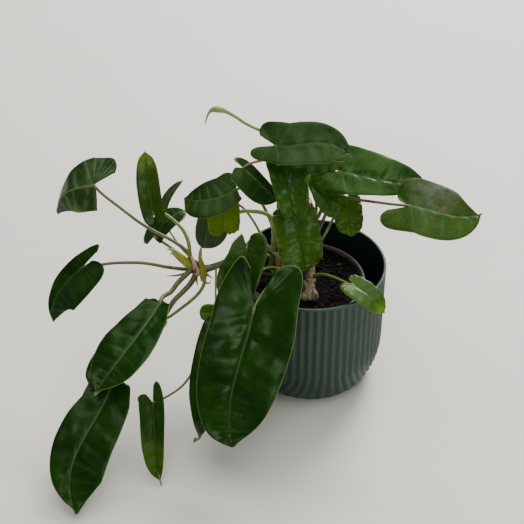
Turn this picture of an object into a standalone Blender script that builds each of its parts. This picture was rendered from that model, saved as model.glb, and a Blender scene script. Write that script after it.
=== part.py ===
"""A burle marx philodendron growing in a nursery pot that stands in a ribbed outer pot.

Metres, +Z up. The origin is the centre of the outer pot's base, on the surface it stands on.
The plant's front looks along -Y. Every leaf is a blade and its stalk grown together.
Places in the tables are in millimetres, and turns in degrees.
"""
import math

import bmesh
import bpy
import numpy as np

MM = 0.001
GAP = 0.3 * MM                  # clearance between pieces that touch
MERGE = 0.001 * MM              # points closer than this are one point
UP = np.array((0.0, 0.0, 1.0))
FRONT = np.array((0.0, -1.0, 0.0))

# Outer pot: a straight wall that narrows a little, then an elliptical corner down to a flat base
POT_RADIUS = 70 * MM
POT_HEIGHT = 128 * MM
POT_WALL = 2.5 * MM
POT_FLOOR = 3 * MM
POT_DRAFT = 0.008
CORNER_HEIGHT = 50 * MM
BASE_RADIUS = 47 * MM
OUTER_CORNER = (1.0, 0.62, 0.38, 0.2, 0.07, 0.0)    # heights of its rings, as shares of the corner's
INNER_CORNER = (1.0, 0.5, 0.25)
RIM_BAND = 2 * MM               # plain band above the ribs
RIBS = 58
RIB_DEPTH = 1.1 * MM
RIB_RUN_IN = 1.5 * MM           # height over which a rib rises under the band
GROOVE_HALF = 0.25              # half a groove's width, as a share of a rib's pitch
SWEEP_HEIGHT = 34 * MM          # below this the ribs turn sideways
SWEEP_ANGLE = 15.0              # how far they turn at the base
PARTING = 10.0                  # where they part, from the front towards +X

# Nursery pot: a thin tapered shell standing off centre inside the outer pot
NURSERY_CENTRE = (-6 * MM, 3 * MM)
NURSERY_TOP_RADIUS = 56 * MM
NURSERY_BASE_RADIUS = 39 * MM
NURSERY_HEIGHT = 104 * MM
NURSERY_WALL = 1.2 * MM
NURSERY_LIP = 1.2 * MM          # how far the rolled lip stands out
NURSERY_LIP_HEIGHT = 4 * MM
NURSERY_STEPS = 36

# Soil: fills the nursery pot, with a lumpy top
SOIL_TOP = 102 * MM
SOIL_LUMP = 1.6 * MM
SOIL_RINGS = 5
HOLE_CLEARANCE = 1.2 * MM       # between a stem's widest foot and its hole in the soil
HOLE_SIDES = 16
CUTTER_LENGTH = 30 * MM

# Leaves
BLADE_THICKNESS = 0.8 * MM
STATIONS = 13                   # points round one half of a large blade
SMALL_STATIONS = 9              # the same on a blade shorter than SMALL_BLADE
SMALL_BLADE = 45 * MM
ACROSS = (0.0, 0.5, 1.0)        # points from midrib to margin
VEIN_LEAD = 0.16                # how far a side vein runs ahead, in midrib lengths
TIP_OPENING = 0.3               # least half width near the tip, in half widths for each length left
STALK_BEVEL = 1                 # 6 sides
STEM_BEVEL = 2                  # 8 sides
POINT_SPACING = 9.5 * MM        # between points along a stalk
SHORT_STEP = 6.65 * MM          # between points along the rolled leaf, and a stalk's first chord
STEM_SPACING = 7 * MM           # the same on a stem
GROWTH_SPACING = 5 * MM         # the same on its bracts and rootlets
TRIM_SAMPLES = 45               # tried for each point of a route when its start is trimmed
END_SIDES = 6                   # points tested round a trimmed end
SHARP_LEAF = 50                 # angle in degrees above which an edge shades sharp
SHARP_POT = 35

# One half of a blade's outline from lobe end to tip: midrib lengths ahead, half widths out.
# Behind the stalk, ahead is a share of the lobe's length instead.
SLIM = ((-0.80, 0.16), (-0.97, 0.33), (-1.00, 0.55), (-0.84, 0.76), (-0.50, 0.91),
        (0.00, 0.99), (0.20, 1.00), (0.42, 0.965), (0.61, 0.86), (0.78, 0.64),
        (0.90, 0.36), (0.965, 0.12), (1.00, 0.00))
FULL = ((-0.80, 0.16), (-0.97, 0.33), (-1.00, 0.55), (-0.84, 0.76), (-0.50, 0.90),
        (0.00, 0.97), (0.20, 1.00), (0.42, 1.00), (0.61, 0.96), (0.78, 0.84),
        (0.90, 0.61), (0.965, 0.30), (1.00, 0.00))

# Stems: points on the axis with the radius there, in millimetres
OLD_STEM = (((-3, -20, 90.5), 3.6), ((-3, -20, 98), 4.2), ((-3, -19, 105), 4.4),
            ((-2, -12, 112), 4.6), ((-2, -3, 120), 4.2), ((-3, 8, 133), 3.6), ((-3, 15, 151), 3.2),
            ((-2, 19, 167), 2.6))
MAIN_STEM = (((-27, 8, 90.5), 3.6), ((-27, 8, 102), 4.4), ((-28, 10, 114), 4.6), ((-29, 13, 124.5), 3.4),
             ((-29.5, 14.5, 129.5), 1.0))
RUNNER = (((-28, 11, 111), 3.0), ((-40, 15, 122), 3.0), ((-55, 11, 131), 3.0), ((-68, 4, 134), 3.0),
          ((-83, -5, 131.5), 3.0), ((-96, -10, 129.5), 3.4), ((-105, -13, 130), 5.4),
          ((-112, -12, 136), 5.0), ((-116, -10, 141), 2.4))

# Bracts, stubs and rootlets on the runner
SPIKES = (
    (((-112, -13, 135), 2.4), ((-120, -14, 143), 3.4), ((-125, -14, 148.5), 2.9), ((-129.5, -13, 152.5), 1.8),
     ((-132.5, -13, 153.5), 0.9), ((-135.5, -13, 153), 0.3)),
    (((-108, -11, 130), 1.6), ((-117, -11, 124.5), 1.4), ((-127, -13, 123), 1.1), ((-136, -14, 123), 0.4)),
    (((-103, -13, 128), 2.6), ((-102.5, -14, 134), 2.5), ((-103.5, -14, 140), 2.0), ((-104.5, -13, 147), 1.2),
     ((-103.5, -12, 154.5), 0.4)),
    (((-104, -12, 128), 2.0), ((-98, -10, 121), 1.4), ((-94, -9, 116), 0.6)),
    (((-86, -6, 131), 0.8), ((-87, -9, 125), 0.7), ((-87, -11, 120), 0.6), ((-85, -12, 116), 0.5),
     ((-82, -12, 117), 0.4)),
)

# The new leaf, still rolled: stalk, knob and thin drooping point
NEW_LEAF = (((-2, 18, 162), 1.7), ((-4, 28, 170), 1.6), ((-5, 40, 188), 1.6), ((-12, 50, 212), 1.5),
            ((-25, 52, 229), 1.4), ((-38, 49, 239), 1.4), ((-50, 45, 247), 1.4), ((-62, 43, 255), 1.4),
            ((-70, 42, 262), 1.5), ((-79, 42, 268), 1.7), ((-87, 42, 271), 2.6),
            ((-92, 42, 271.5), 2.6), ((-95, 42, 268), 1.4), ((-97, 41, 263), 0.9),
            ((-99, 40, 256), 0.4))

# Leaf colours by age: base colour and roughness
LEAF_COLOURS = {
    "dark": ((0.024, 0.062, 0.016), 0.38),
    "mid": ((0.045, 0.110, 0.020), 0.42),
    "young": ((0.150, 0.260, 0.030), 0.48),
    "under": ((0.090, 0.130, 0.060), 0.60),
}

# Each leaf: where its blade starts and ends, half widths seen from the stalk to the tip,
# the stalk's radius and route from its stem, and how the blade departs from a plain one.
LEAVES = (
    dict(name="leaf_left_curled", age="dark", base=(-205, 38, 190.5), tip=(-244, 50, 148.5), left=23,
         right=24.5, roll=-25, lobe=0.5, lobe_l=0.1, fold=0, fold_l=-50, spread_l=8, spread_r=22,
         blunt=-0.7, blunt_l=0.85, taper=0.9, taper_l=-0.6, arch=(0.3, 0.25), bend=(-0.02, 0.1), wave=1,
         stem="runner", stalk=1.5, solver="MANIFOLD",
         route=((-111, -9, 136), (-118, -1, 143), (-131, 6, 149.5), (-144, 11, 154), (-161, 18, 161),
                (-180.5, 27, 172.5), (-196, 33, 183))),
    dict(name="leaf_left_upright", age="mid", base=(-148, 15, 173), tip=(-155, 40, 226), left=11, right=11,
         lobe=0.15, fold=10, blunt=1, arch=(0, 0.1), bend=(-0.05, -0.03), stem="runner", stalk=1.6,
         route=((-112, -12, 135), (-114, -11, 146), (-115, -6, 155), (-118, 1, 160), (-122, 6, 164),
                (-128, 12, 167), (-137, 18, 171), (-145, 20, 172))),
    dict(name="leaf_left_young", age="dark", base=(-150, 25, 140), tip=(-120, 45, 156), left=15, right=13,
         lobe=0.3, lobe_r=0.1, fold=0, blunt=1, arch=(0.2, 0.2), stem="runner", stalk=1.4,
         route=((-110, -11, 134), (-121, -6, 138), (-130, 4, 140), (-140, 15, 140))),
    dict(name="leaf_left_thin", age="under", base=(-143, 50, 142), tip=(-124, 75, 170), left=6, right=4,
         lobe=0.2, fold=0, arch=(0.1, 0.1), bend=(-0.12, -0.12), stem="runner", stalk=1,
         route=((-108, -11, 132), (-115, 2, 133), (-124, 20, 130), (-134, 38, 133))),
    dict(name="leaf_left_low", age="dark", base=(-213, -20, 139), tip=(-241, -50, 99), left=32, right=12,
         lobe=0.35, lobe_l=0.65, lobe_r=1.2, fold=10, spread_l=-10, spread_r=-4, blunt=-0.35, blunt_l=1.35,
         taper=0.25, taper_l=-0.25, bend=(0.1, 0.3), wave=1, stem="runner", stalk=1.5,
         route=((-108, -13, 130), (-120, -12.5, 130), (-137, -14, 134), (-151, -16, 139), (-165, -18, 142),
                (-184.5, -20, 143), (-201, -21, 141))),
    dict(name="leaf_hanging_upper", age="dark", base=(-140, -60, 128), tip=(-194, -130, 84), left=23,
         right=26, lobe=0.1, lobe_l=0.35, lobe_r=0.3, fold=5, spread_l=9, spread_r=8, blunt=-0.05,
         blunt_l=-0.15, taper=-1.05, taper_l=-0.2, bend=(-0.06, 0), wave=1.5, stem="runner", stalk=2.2,
         route=((-110, -13, 134), (-117, -21, 131), (-125, -29, 127), (-131, -40, 125),
                (-137.5, -50, 127.5))),
    dict(name="leaf_hanging_under", age="dark", base=(-152, -56, 108), tip=(-201, -117, 76), left=26,
         right=19, lobe=0.1, fold=5, blunt=1, taper=-0.25, stem="runner", stalk=1.4,
         route=((-101, -12, 129), (-101, -22, 121), (-106, -28, 114), (-114, -33, 108), (-122, -38, 104),
                (-131, -45, 101), (-141, -51, 99), (-148, -54, 102))),
    dict(name="leaf_hanging_long", age="dark", base=(-182.5, -113, 76), tip=(-210.5, -205, 8), left=30,
         right=26, lobe=0.1, lobe_l=0.55, lobe_r=0.45, fold=5, spread_l=10, spread_r=12, blunt=-0.5,
         blunt_l=1.1, taper=-0.5, taper_l=-0.4, bend=(0, 0.28), wave=1.8, stem="runner", stalk=2.2,
         route=((-107, -13, 130), (-113, -23, 122.5), (-121, -32, 118), (-129, -42, 115), (-137, -54, 107),
                (-147.5, -72, 95.5), (-165.5, -94, 83.5))),
    dict(name="leaf_hanging_slim", age="dark", base=(-145.5, -122, 63), tip=(-139, -165, 8), left=9,
         right=14, lobe=0.22, lobe_l=1.2, lobe_r=0.8, fold=20, spread_r=30, taper_l=0.4, bend=(0, 0.05),
         stem="main", stalk=1.2,
         route=((-28, 8, 107), (-30, 2, 110), (-38, -6, 118), (-50, -14, 127), (-62, -22, 131.7),
                (-71, -33, 131), (-82, -50, 119), (-92, -68, 102), (-104, -86, 83), (-118, -104, 69),
                (-134, -117, 65))),
    dict(name="leaf_front_under", age="dark", base=(-78, -80, 113), tip=(-104, -140, 35), left=22,
         right=24, lobe=0.12, fold=5, blunt=-0.3, taper_l=0.3, wave=1.2, stem="main", stalk=1.5,
         route=((-28, 10, 114), (-30, 5, 117), (-44, -12, 130), (-62, -34, 133), (-75, -50, 128),
                (-80, -66, 120.5))),
    dict(name="leaf_front_large", age="dark", base=(-54.5, -85, 141.5), tip=(-73, -155, 40), left=42.5,
         right=35.5, lobe=0.38, lobe_l=1.05, fold=5, spread_l=14, spread_r=10, wedge_r=0.4, blunt=0.9,
         blunt_l=-0.4, taper=0.1, taper_l=-0.15, bend=(0, 0.14), wave=1.8, stem="main", stalk=2,
         route=((-27.5, 9, 110), (-27, 4, 114), (-30, -14, 129), (-35, -42, 142), (-45.5, -68, 146.5))),
    dict(name="leaf_front_middle", age="dark", base=(-61, -25, 165.5), tip=(-64, -63, 126), left=18,
         right=21, lobe=0.15, lobe_l=1.6, lobe_r=1.6, fold=10, spread_l=-3, spread_r=16, wedge_r=0.7,
         blunt=0.55, blunt_l=0.2, taper=-0.75, taper_l=1.05, bend=(0, 0.14), stem="main", stalk=1.5,
         route=((-28, 11, 119), (-31, 8, 124), (-39, 1, 139), (-48, -6, 153), (-56, -14, 162.5))),
    dict(name="leaf_small_bud", age="young", base=(-90, -62, 118), tip=(-104, -62, 119), left=8, right=8,
         roll=-50, lobe=0.2, fold=10, blunt=1, stem="runner", stalk=0.9,
         route=((-90, -7, 131), (-90, -20, 127), (-90, -38, 121), (-89, -52, 118))),
    dict(name="leaf_back_left", age="dark", base=(-72, 20, 198), tip=(-119, 20, 188), left=17.5,
         right=19.5, roll=-30, lobe=0.15, lobe_l=0.3, lobe_r=1.1, fold=5, spread_l=16, blunt=0.3,
         blunt_l=0.4, taper=0.1, taper_l=-0.85, arch=(0, 0.05), bend=(-0.18, -0.16), stem="main",
         stalk=1.4, solver="MANIFOLD",
         route=((-29, 13, 124), (-35, 22, 145), (-42, 27, 165), (-52, 28, 185), (-62, 25, 196))),
    dict(name="leaf_left_drooping", age="under", base=(-93, 48, 158), tip=(-106, 48, 109), left=21,
         right=12, roll=-75, lobe=0.1, fold=5, stem="main", stalk=1.2,
         route=((-28, 12, 121), (-34, 18, 124), (-44, 27, 131), (-54, 42, 143), (-66, 52, 155),
                (-80, 54, 161))),
    dict(name="leaf_young_raised", age="young", base=(-83, 25, 148), tip=(-85, 35, 193), left=16, right=16,
         lobe=0.12, fold=5, wedge_l=0.2, wedge_r=0.2, taper=-0.15, stem="main", stalk=2,
         route=((-28, 9, 107), (-35, 8, 109), (-39, 7, 117), (-37.5, 8.5, 130), (-36, 12, 152),
                (-38, 15, 168), (-45, 18, 172.5), (-55, 22, 171.5), (-66, 29, 166.5), (-75, 33, 158),
                (-81, 31, 149.5))),
    dict(name="leaf_top", age="dark", base=(-35.5, 20, 246.5), tip=(32, 0, 247.5), left=22, right=21,
         roll=35, lobe_l=0.85, lobe_r=0.85, fold=5, spread_l=17, spread_r=5, blunt_l=-0.75, taper=-0.4,
         taper_l=0.45, bend=(0, -0.28), wave=1, stem="old", stalk=1.6,
         route=((-2, 18, 164), (-7, 23, 172), (-11, 31, 190), (-19, 38, 218), (-29.5, 35, 239.5))),
    dict(name="leaf_top_left", age="dark", base=(-64.5, 30, 215.5), tip=(-32, 12, 191.5), left=8, right=20,
         roll=20, lobe=0.2, lobe_l=1.25, lobe_r=0.95, fold=5, spread_l=-15, spread_r=25, blunt=0.35,
         blunt_l=0.6, taper=-0.25, taper_l=0.45, bend=(0, 0.05), stem="main", stalk=1.3,
         route=((-29, 13, 123), (-29, 19, 128), (-32, 28, 145), (-32, 35, 170), (-32, 39, 200),
                (-35, 38, 215), (-41, 34, 222), (-49.5, 31, 222), (-58, 31, 219.5))),
    dict(name="leaf_crown_left", age="dark", base=(-27, 20, 229), tip=(-17, -15, 183), left=17,
         right=15.5, lobe=0.2, fold=5, blunt=1, taper=0.1, taper_r=0.35, stem="old", stalk=1.4,
         route=((-3, 14, 148), (-7, 17, 157), (-12, 22, 178), (-17, 27, 200), (-23, 30, 219))),
    dict(name="leaf_crown_right", age="mid", base=(7, 42, 203), tip=(19, 5, 176), left=12, right=15,
         lobe=0.2, fold=5, stem="old", stalk=1.3,
         route=((-3, 15, 152), (2, 18, 157), (4, 27, 171), (3, 39, 189), (5, 45, 199))),
    dict(name="leaf_right_upper", age="dark", base=(25.5, 35, 208), tip=(106, 20, 204), left=26,
         right=19.5, roll=30, lobe=0.3, fold=5, spread_r=-8, blunt=-0.7, blunt_l=0.9, taper=0.75,
         taper_l=-0.6, bend=(0.02, 0.12), wave=1.4, stem="old", stalk=1.5,
         route=((-2, 17, 161), (6, 20, 168), (12, 31, 180), (19, 44, 193), (25, 44, 201.5))),
    dict(name="leaf_far_right", age="dark", base=(87, -8, 199.5), tip=(150.5, -18, 198), left=28.5,
         right=30, roll=25, lobe=0.38, lobe_l=0.45, lobe_r=1.1, fold=5, spread_l=-12, spread_r=10,
         blunt=-0.1, blunt_l=-0.5, taper=-0.15, taper_l=0.05, bend=(0.02, 0.22), wave=1.6, stem="old",
         stalk=1.4,
         route=((-3, 12, 145), (5, 16, 151), (12, 24, 165), (18, 30, 179), (25, 27, 186), (32, 18, 190),
                (44, 10, 193), (60, 2, 196), (74, -4, 198))),
    dict(name="leaf_right_young", age="young", base=(33, 35, 176), tip=(37, 10, 152), left=13, right=15,
         lobe=0.2, fold=5, blunt=1, stem="old", stalk=1.2,
         route=((-3, 8, 132), (4, 11, 138), (12, 18, 147), (21, 29, 160), (29, 37, 171))),
    dict(name="leaf_centre", age="mid", base=(-17, 5, 179), tip=(-7, -20, 133), left=21.5,
         right=23, lobe=0.2, fold=5, blunt=1, wave=1.4, stem="old", stalk=1.4,
         route=((-3, 6, 130), (-8, 6, 139), (-14, 8, 153), (-19, 10, 167), (-19, 9, 175))),
    dict(name="leaf_rim_young", age="young", base=(37, -45, 137), tip=(64, -65, 121), left=12, right=14,
         roll=10, lobe=0.25, fold=5, arch=(0.1, 0.2), stem="old", stalk=1.3,
         route=((-2, -5, 116), (4, -10, 121), (9, -14, 125), (15, -21, 129), (22, -29, 132),
                (30, -39, 135))),
)
STALK_SPREAD = 1.25             # a stalk's radius at its stem, over its radius along the way
STALK_NARROW = 0.85             # the same where it meets the blade
STALK_SINK = 0.8                # how far the stalk's axis lies under the midrib, in its radii
FIRST_SINK = 0.5                # the same where it meets the blade
RIB_SHARES = (0.2, 0.4)         # where else it is placed along the midrib
RIB_END = 0.55                  # how far along the midrib the stalk runs on under the blade
RIB_END_RADIUS = 0.45 * MM

LEAF_DEFAULTS = dict(roll=0, lobe=0.36, lobe_l=1, lobe_r=1, fold=12, fold_l=0, fold_r=0, arch=(0.04, 0.04),
                     bend=(0, 0), blunt=0.5, blunt_l=0, blunt_r=0, taper=0, taper_l=0, taper_r=0,
                     spread_l=0, spread_r=0, wedge_l=0, wedge_r=0, wave=0, waves=2.5)


def unit(v):
    return v / np.linalg.norm(v)


def smooth_at(points, u):
    """Value at u, from 0 to 1, on a smooth curve through rows of numbers."""
    p = np.asarray(points, float)
    last = len(p) - 1
    x = min(max(u, 0.0), 1.0) * last
    i = min(int(x), last - 1)
    f = x - i
    before = p[i - 1] if i > 0 else 2 * p[0] - p[1]
    after = p[i + 2] if i + 2 <= last else 2 * p[last] - p[last - 1]
    b, c = p[i], p[i + 1]
    slope = (c - before) * f
    bow = (2 * before - 5 * b + 4 * c - after) * f * f
    turn = (3 * b - before - 3 * c + after) * f ** 3
    return 0.5 * (2 * b + slope + bow + turn)


def smooth_path(points, spacing):
    """Points about spacing apart on a smooth curve through points, with their extra values."""
    p = np.asarray(points, float)
    fine = np.array([smooth_at(p, u) for u in np.linspace(0, 1, 20 * len(p))])
    run = np.concatenate(([0.0], np.linalg.norm(np.diff(fine[:, :3], axis=0), axis=1).cumsum()))
    count = max(4, int(round(run[-1] / spacing)) + 1)
    wanted = np.linspace(0, run[-1], count)
    return np.stack([np.interp(wanted, run, fine[:, k]) for k in range(p.shape[1])], 1)


def in_metres(points):
    """Rows of x, y, z and radius in metres, from ((x, y, z), radius) in millimetres."""
    return np.array([(*place, radius) for place, radius in points]) * MM


class Blade:
    """The form of one leaf blade: a midrib curve, with side veins running out to a lobed margin."""

    def __init__(self, leaf):
        self.shape = dict(LEAF_DEFAULTS)
        self.shape.update(leaf)
        self.base = np.array(leaf["base"]) * MM
        self.tip = np.array(leaf["tip"]) * MM
        self.length = np.linalg.norm(self.tip - self.base)
        self.along = unit(self.tip - self.base)
        level = unit(np.cross(self.along, UP))
        top = np.cross(level, self.along)
        roll = math.radians(self.shape["roll"])
        self.side = level * math.cos(roll) - top * math.sin(roll)
        self.top = top * math.cos(roll) + level * math.sin(roll)

    def sided(self, key, right):
        """A value that the right or left half may have of its own, added to the shared one."""
        return self.shape[key] + self.shape[key + ("_r" if right else "_l")]

    def midrib(self, share):
        """Place, direction, side and top on the midrib, a Bezier curve, at a share of its length."""
        third = self.along * self.length / 3
        arch, bend = self.shape["arch"], self.shape["bend"]
        first = self.base + third + (self.top * arch[0] + self.side * bend[0]) * self.length
        second = self.tip - third + (self.top * arch[1] + self.side * bend[1]) * self.length
        rest = 1 - share
        place = (rest ** 3 * self.base + 3 * rest ** 2 * share * first
                 + 3 * rest * share ** 2 * second + share ** 3 * self.tip)
        ahead = unit(rest ** 2 * (first - self.base) + 2 * rest * share * (second - first)
                     + share ** 2 * (self.tip - second))
        side = unit(self.side - ahead * np.dot(self.side, ahead))
        return place, ahead, side, np.cross(side, ahead)

    def outline(self, right, u):
        """Metres ahead of the stalk and out from the midrib at u round one half's margin."""
        blunt = self.sided("blunt", right)
        taper = self.sided("taper", right)
        ahead, out = smooth_at(SLIM, u) * (1 - blunt) + smooth_at(FULL, u) * blunt
        out *= 1 + taper * (0.4 - max(ahead, 0.0))
        if ahead > 0:
            out = max(out, TIP_OPENING * (1 - ahead))
        width = self.shape["right" if right else "left"] * MM * out
        if ahead >= 0:
            return ahead * self.length, width
        lobe = self.shape["lobe"] * self.shape["lobe_r" if right else "lobe_l"] * self.length
        width *= 1 - self.shape["wedge_r" if right else "wedge_l"] * ahead * ahead
        spread = math.radians(self.shape["spread_r" if right else "spread_l"] * -ahead)
        back = ahead * lobe
        return (back * math.cos(spread) + width * math.sin(spread),
                width * math.cos(spread) - back * math.sin(spread))

    def point(self, right, u, v):
        """A point of the blade, u round one half from lobe to tip, v from midrib to margin."""
        run, width = self.outline(right, u)
        share = run / self.length
        start = max(0.0, share - VEIN_LEAD * (1 - share))
        place, ahead, side, top = self.midrib(start)
        fold = math.radians(self.shape["fold"] + self.shape["fold_r" if right else "fold_l"])
        hand = 1 if right else -1
        wave = self.shape["wave"] * MM * v * v * math.sin(math.tau * self.shape["waves"] * u + (1 - hand))
        out = side * hand * math.cos(fold) + top * math.sin(fold)
        return place + ahead * (run - start * self.length) * v + out * width * v + top * wave


def clear_scene():
    for obj in list(bpy.data.objects):
        bpy.data.objects.remove(obj, do_unlink=True)


def material(name, colour, roughness, metallic=0.0):
    """A Principled material, made once for each name."""
    found = bpy.data.materials.get(name)
    if found:
        return found
    made = bpy.data.materials.new(name)
    made.use_nodes = True
    shader = made.node_tree.nodes["Principled BSDF"]
    shader.inputs["Base Color"].default_value = (*colour, 1.0)
    shader.inputs["Roughness"].default_value = roughness
    shader.inputs["Metallic"].default_value = metallic
    return made


def add_object(name, mesh, collection, look=None):
    obj = bpy.data.objects.new(name, mesh)
    collection.objects.link(obj)
    if look:
        mesh.materials.clear()
        mesh.materials.append(look)
    return obj


def mesh_from(name, build):
    """A mesh filled by build(bm), with doubled points joined."""
    bm = bmesh.new()
    build(bm)
    bmesh.ops.remove_doubles(bm, verts=bm.verts, dist=MERGE)
    mesh = bpy.data.meshes.new(name)
    bm.to_mesh(mesh)
    bm.free()
    return mesh


def apply_modifiers(obj):
    """Replace the object's mesh by its evaluated one."""
    evaluated = obj.evaluated_get(bpy.context.evaluated_depsgraph_get())
    mesh = bpy.data.meshes.new_from_object(evaluated)
    obj.modifiers.clear()
    obj.data = mesh


def tube(name, points, bevel, collection):
    """A closed tube along rows of x, y, z and radius, made as a curve and turned into a mesh."""
    curve = bpy.data.curves.new(name + "_curve", "CURVE")
    curve.dimensions = "3D"
    curve.bevel_depth = 1.0
    curve.bevel_resolution = bevel
    curve.use_fill_caps = True
    spline = curve.splines.new("POLY")
    spline.points.add(len(points) - 1)
    for point, (x, y, z, radius) in zip(spline.points, points):
        point.co = (x, y, z, 1.0)
        point.radius = radius
    guide = add_object(name + "_curve", curve, collection)
    bpy.context.view_layer.update()
    mesh = bpy.data.meshes.new_from_object(guide.evaluated_get(bpy.context.evaluated_depsgraph_get()))
    bm = bmesh.new()
    bm.from_mesh(mesh)
    bmesh.ops.remove_doubles(bm, verts=bm.verts, dist=MERGE)
    bm.to_mesh(mesh)
    bm.free()
    made = add_object(name, mesh, collection)
    made.matrix_world = guide.matrix_world
    bpy.data.objects.remove(guide, do_unlink=True)
    return made


def join(obj, pieces, solver="EXACT"):
    """Boolean union of obj with closed pieces, which are then removed."""
    group = bpy.data.collections.new(obj.name + "_pieces")
    bpy.context.scene.collection.children.link(group)
    for piece in pieces:
        for home in list(piece.users_collection):
            home.objects.unlink(piece)
        group.objects.link(piece)
    union = obj.modifiers.new("Join", "BOOLEAN")
    union.operation = "UNION"
    union.operand_type = "COLLECTION"
    union.collection = group
    union.solver = solver
    bpy.context.view_layer.update()
    apply_modifiers(obj)
    for piece in pieces:
        bpy.data.objects.remove(piece, do_unlink=True)
    bpy.data.collections.remove(group)


def shade(obj, sharp=SHARP_LEAF):
    obj.data.shade_smooth()
    obj.data.set_sharp_from_angle(angle=math.radians(sharp))


def stem_distance(place, stem):
    """Distance from a place to the surface of a stem given as rows of x, y, z and radius."""
    nearest = math.inf
    for a, b in zip(stem[:-1], stem[1:]):
        step = b[:3] - a[:3]
        share = min(max(np.dot(place - a[:3], step) / np.dot(step, step), 0.0), 1.0)
        radius = a[3] + (b[3] - a[3]) * share
        nearest = min(nearest, np.linalg.norm(place - a[:3] - step * share) - radius)
    return nearest


def trim_to_stem(path, stem):
    """Drop a stalk's start up to where its whole end stands clear of the stem."""
    fine = np.array([smooth_at(path, u) for u in np.linspace(0, 1, TRIM_SAMPLES * len(path))])
    first = 0
    for i in range(len(fine) // 2):
        later = np.linalg.norm(fine[i:, :3] - fine[i, :3], axis=1) > SHORT_STEP
        ahead = unit(fine[i + int(np.argmax(later)), :3] - fine[i, :3])
        across = unit(np.cross(ahead, FRONT if abs(ahead[2]) > 0.9 else UP))
        for turn in range(END_SIDES):
            angle = math.tau * turn / END_SIDES
            spoke = across * math.cos(angle) + np.cross(ahead, across) * math.sin(angle)
            if stem_distance(fine[i, :3] + spoke * fine[i, 3], stem) < GAP:
                first = i + 1
    return fine[first:]


def stalk_path(leaf, blade, stem):
    """Rows of x, y, z and radius from the stem to the blade and on under its midrib."""
    radius = leaf["stalk"] * MM
    route = [np.array(p) * MM for p in leaf["route"]] + [blade.base]
    count = len(route) - 1
    rows = [(*p, radius * (STALK_SPREAD + (STALK_NARROW - STALK_SPREAD) * i / count))
            for i, p in enumerate(route)]
    rows = list(smooth_path(trim_to_stem(rows, stem), POINT_SPACING))
    end = rows[-1][3]
    rows[-1][:3] -= blade.top * end * FIRST_SINK
    for share in (*RIB_SHARES, RIB_END):
        place, _, _, top = blade.midrib(share)
        here = end + (RIB_END_RADIUS - end) * share / RIB_END
        rows.append((*(place - top * here * STALK_SINK), here))
    return np.array(rows)


def blade_faces(blade, stations):
    """Fills a mesh with one thin layer of triangles for the blade."""
    def build(bm):
        for right in (True, False):
            grid = [[bm.verts.new(blade.point(right, u, v)) for v in ACROSS]
                    for u in np.linspace(0, 1, stations)]
            for near, far in zip(grid[:-1], grid[1:]):
                for i in range(len(ACROSS) - 1):
                    corners = [near[i], near[i + 1], far[i + 1], far[i]]
                    if not right:
                        corners.reverse()
                    bm.faces.new(corners[:3])
                    bm.faces.new((corners[2], corners[3], corners[0]))
    return build


def make_leaf(leaf, stems, collection):
    """One leaf: a solid blade with its stalk and midrib joined to it."""
    blade = Blade(leaf)
    stations = SMALL_STATIONS if blade.length < SMALL_BLADE else STATIONS
    colour, roughness = LEAF_COLOURS[leaf["age"]]
    look = material("leaf_" + leaf["age"], colour, roughness)
    obj = add_object(leaf["name"], mesh_from(leaf["name"], blade_faces(blade, stations)), collection, look)
    thick = obj.modifiers.new("Thickness", "SOLIDIFY")
    thick.thickness = BLADE_THICKNESS
    thick.offset = 0.0
    bpy.context.view_layer.update()
    apply_modifiers(obj)
    path = stalk_path(leaf, blade, stems[leaf["stem"]])
    stalk = tube(leaf["name"] + "_stalk", path, STALK_BEVEL, collection)
    join(obj, [stalk], leaf.get("solver", "EXACT"))
    shade(obj)
    return obj


def wall_radius(z):
    """The outer pot's outside radius at a height, over its ribs."""
    top = POT_RADIUS - POT_DRAFT * (POT_HEIGHT - z)
    if z >= CORNER_HEIGHT:
        return top
    drop = 1 - z / CORNER_HEIGHT
    return BASE_RADIUS + (top - BASE_RADIUS) * math.sqrt(1 - drop * drop)


def pot_point(column, z):
    """Outside of the outer pot: three columns a rib, one in the groove and two on the crest."""
    rib, part = divmod(column, 3)
    share = (0.0, GROOVE_HALF, 1.0 - GROOVE_HALF)[part]
    angle = math.tau * (rib + share) / RIBS
    low = max(0.0, 1 - z / SWEEP_HEIGHT)
    angle += math.radians(SWEEP_ANGLE) * low ** 1.5 * math.sin(2 * (angle - math.radians(PARTING)))
    depth = RIB_DEPTH * min(1.0, max(0.0, (POT_HEIGHT - RIM_BAND - z) / RIB_RUN_IN)) if part == 0 else 0.0
    radius = wall_radius(z) - depth
    return radius * math.sin(angle), -radius * math.cos(angle), z


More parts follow.
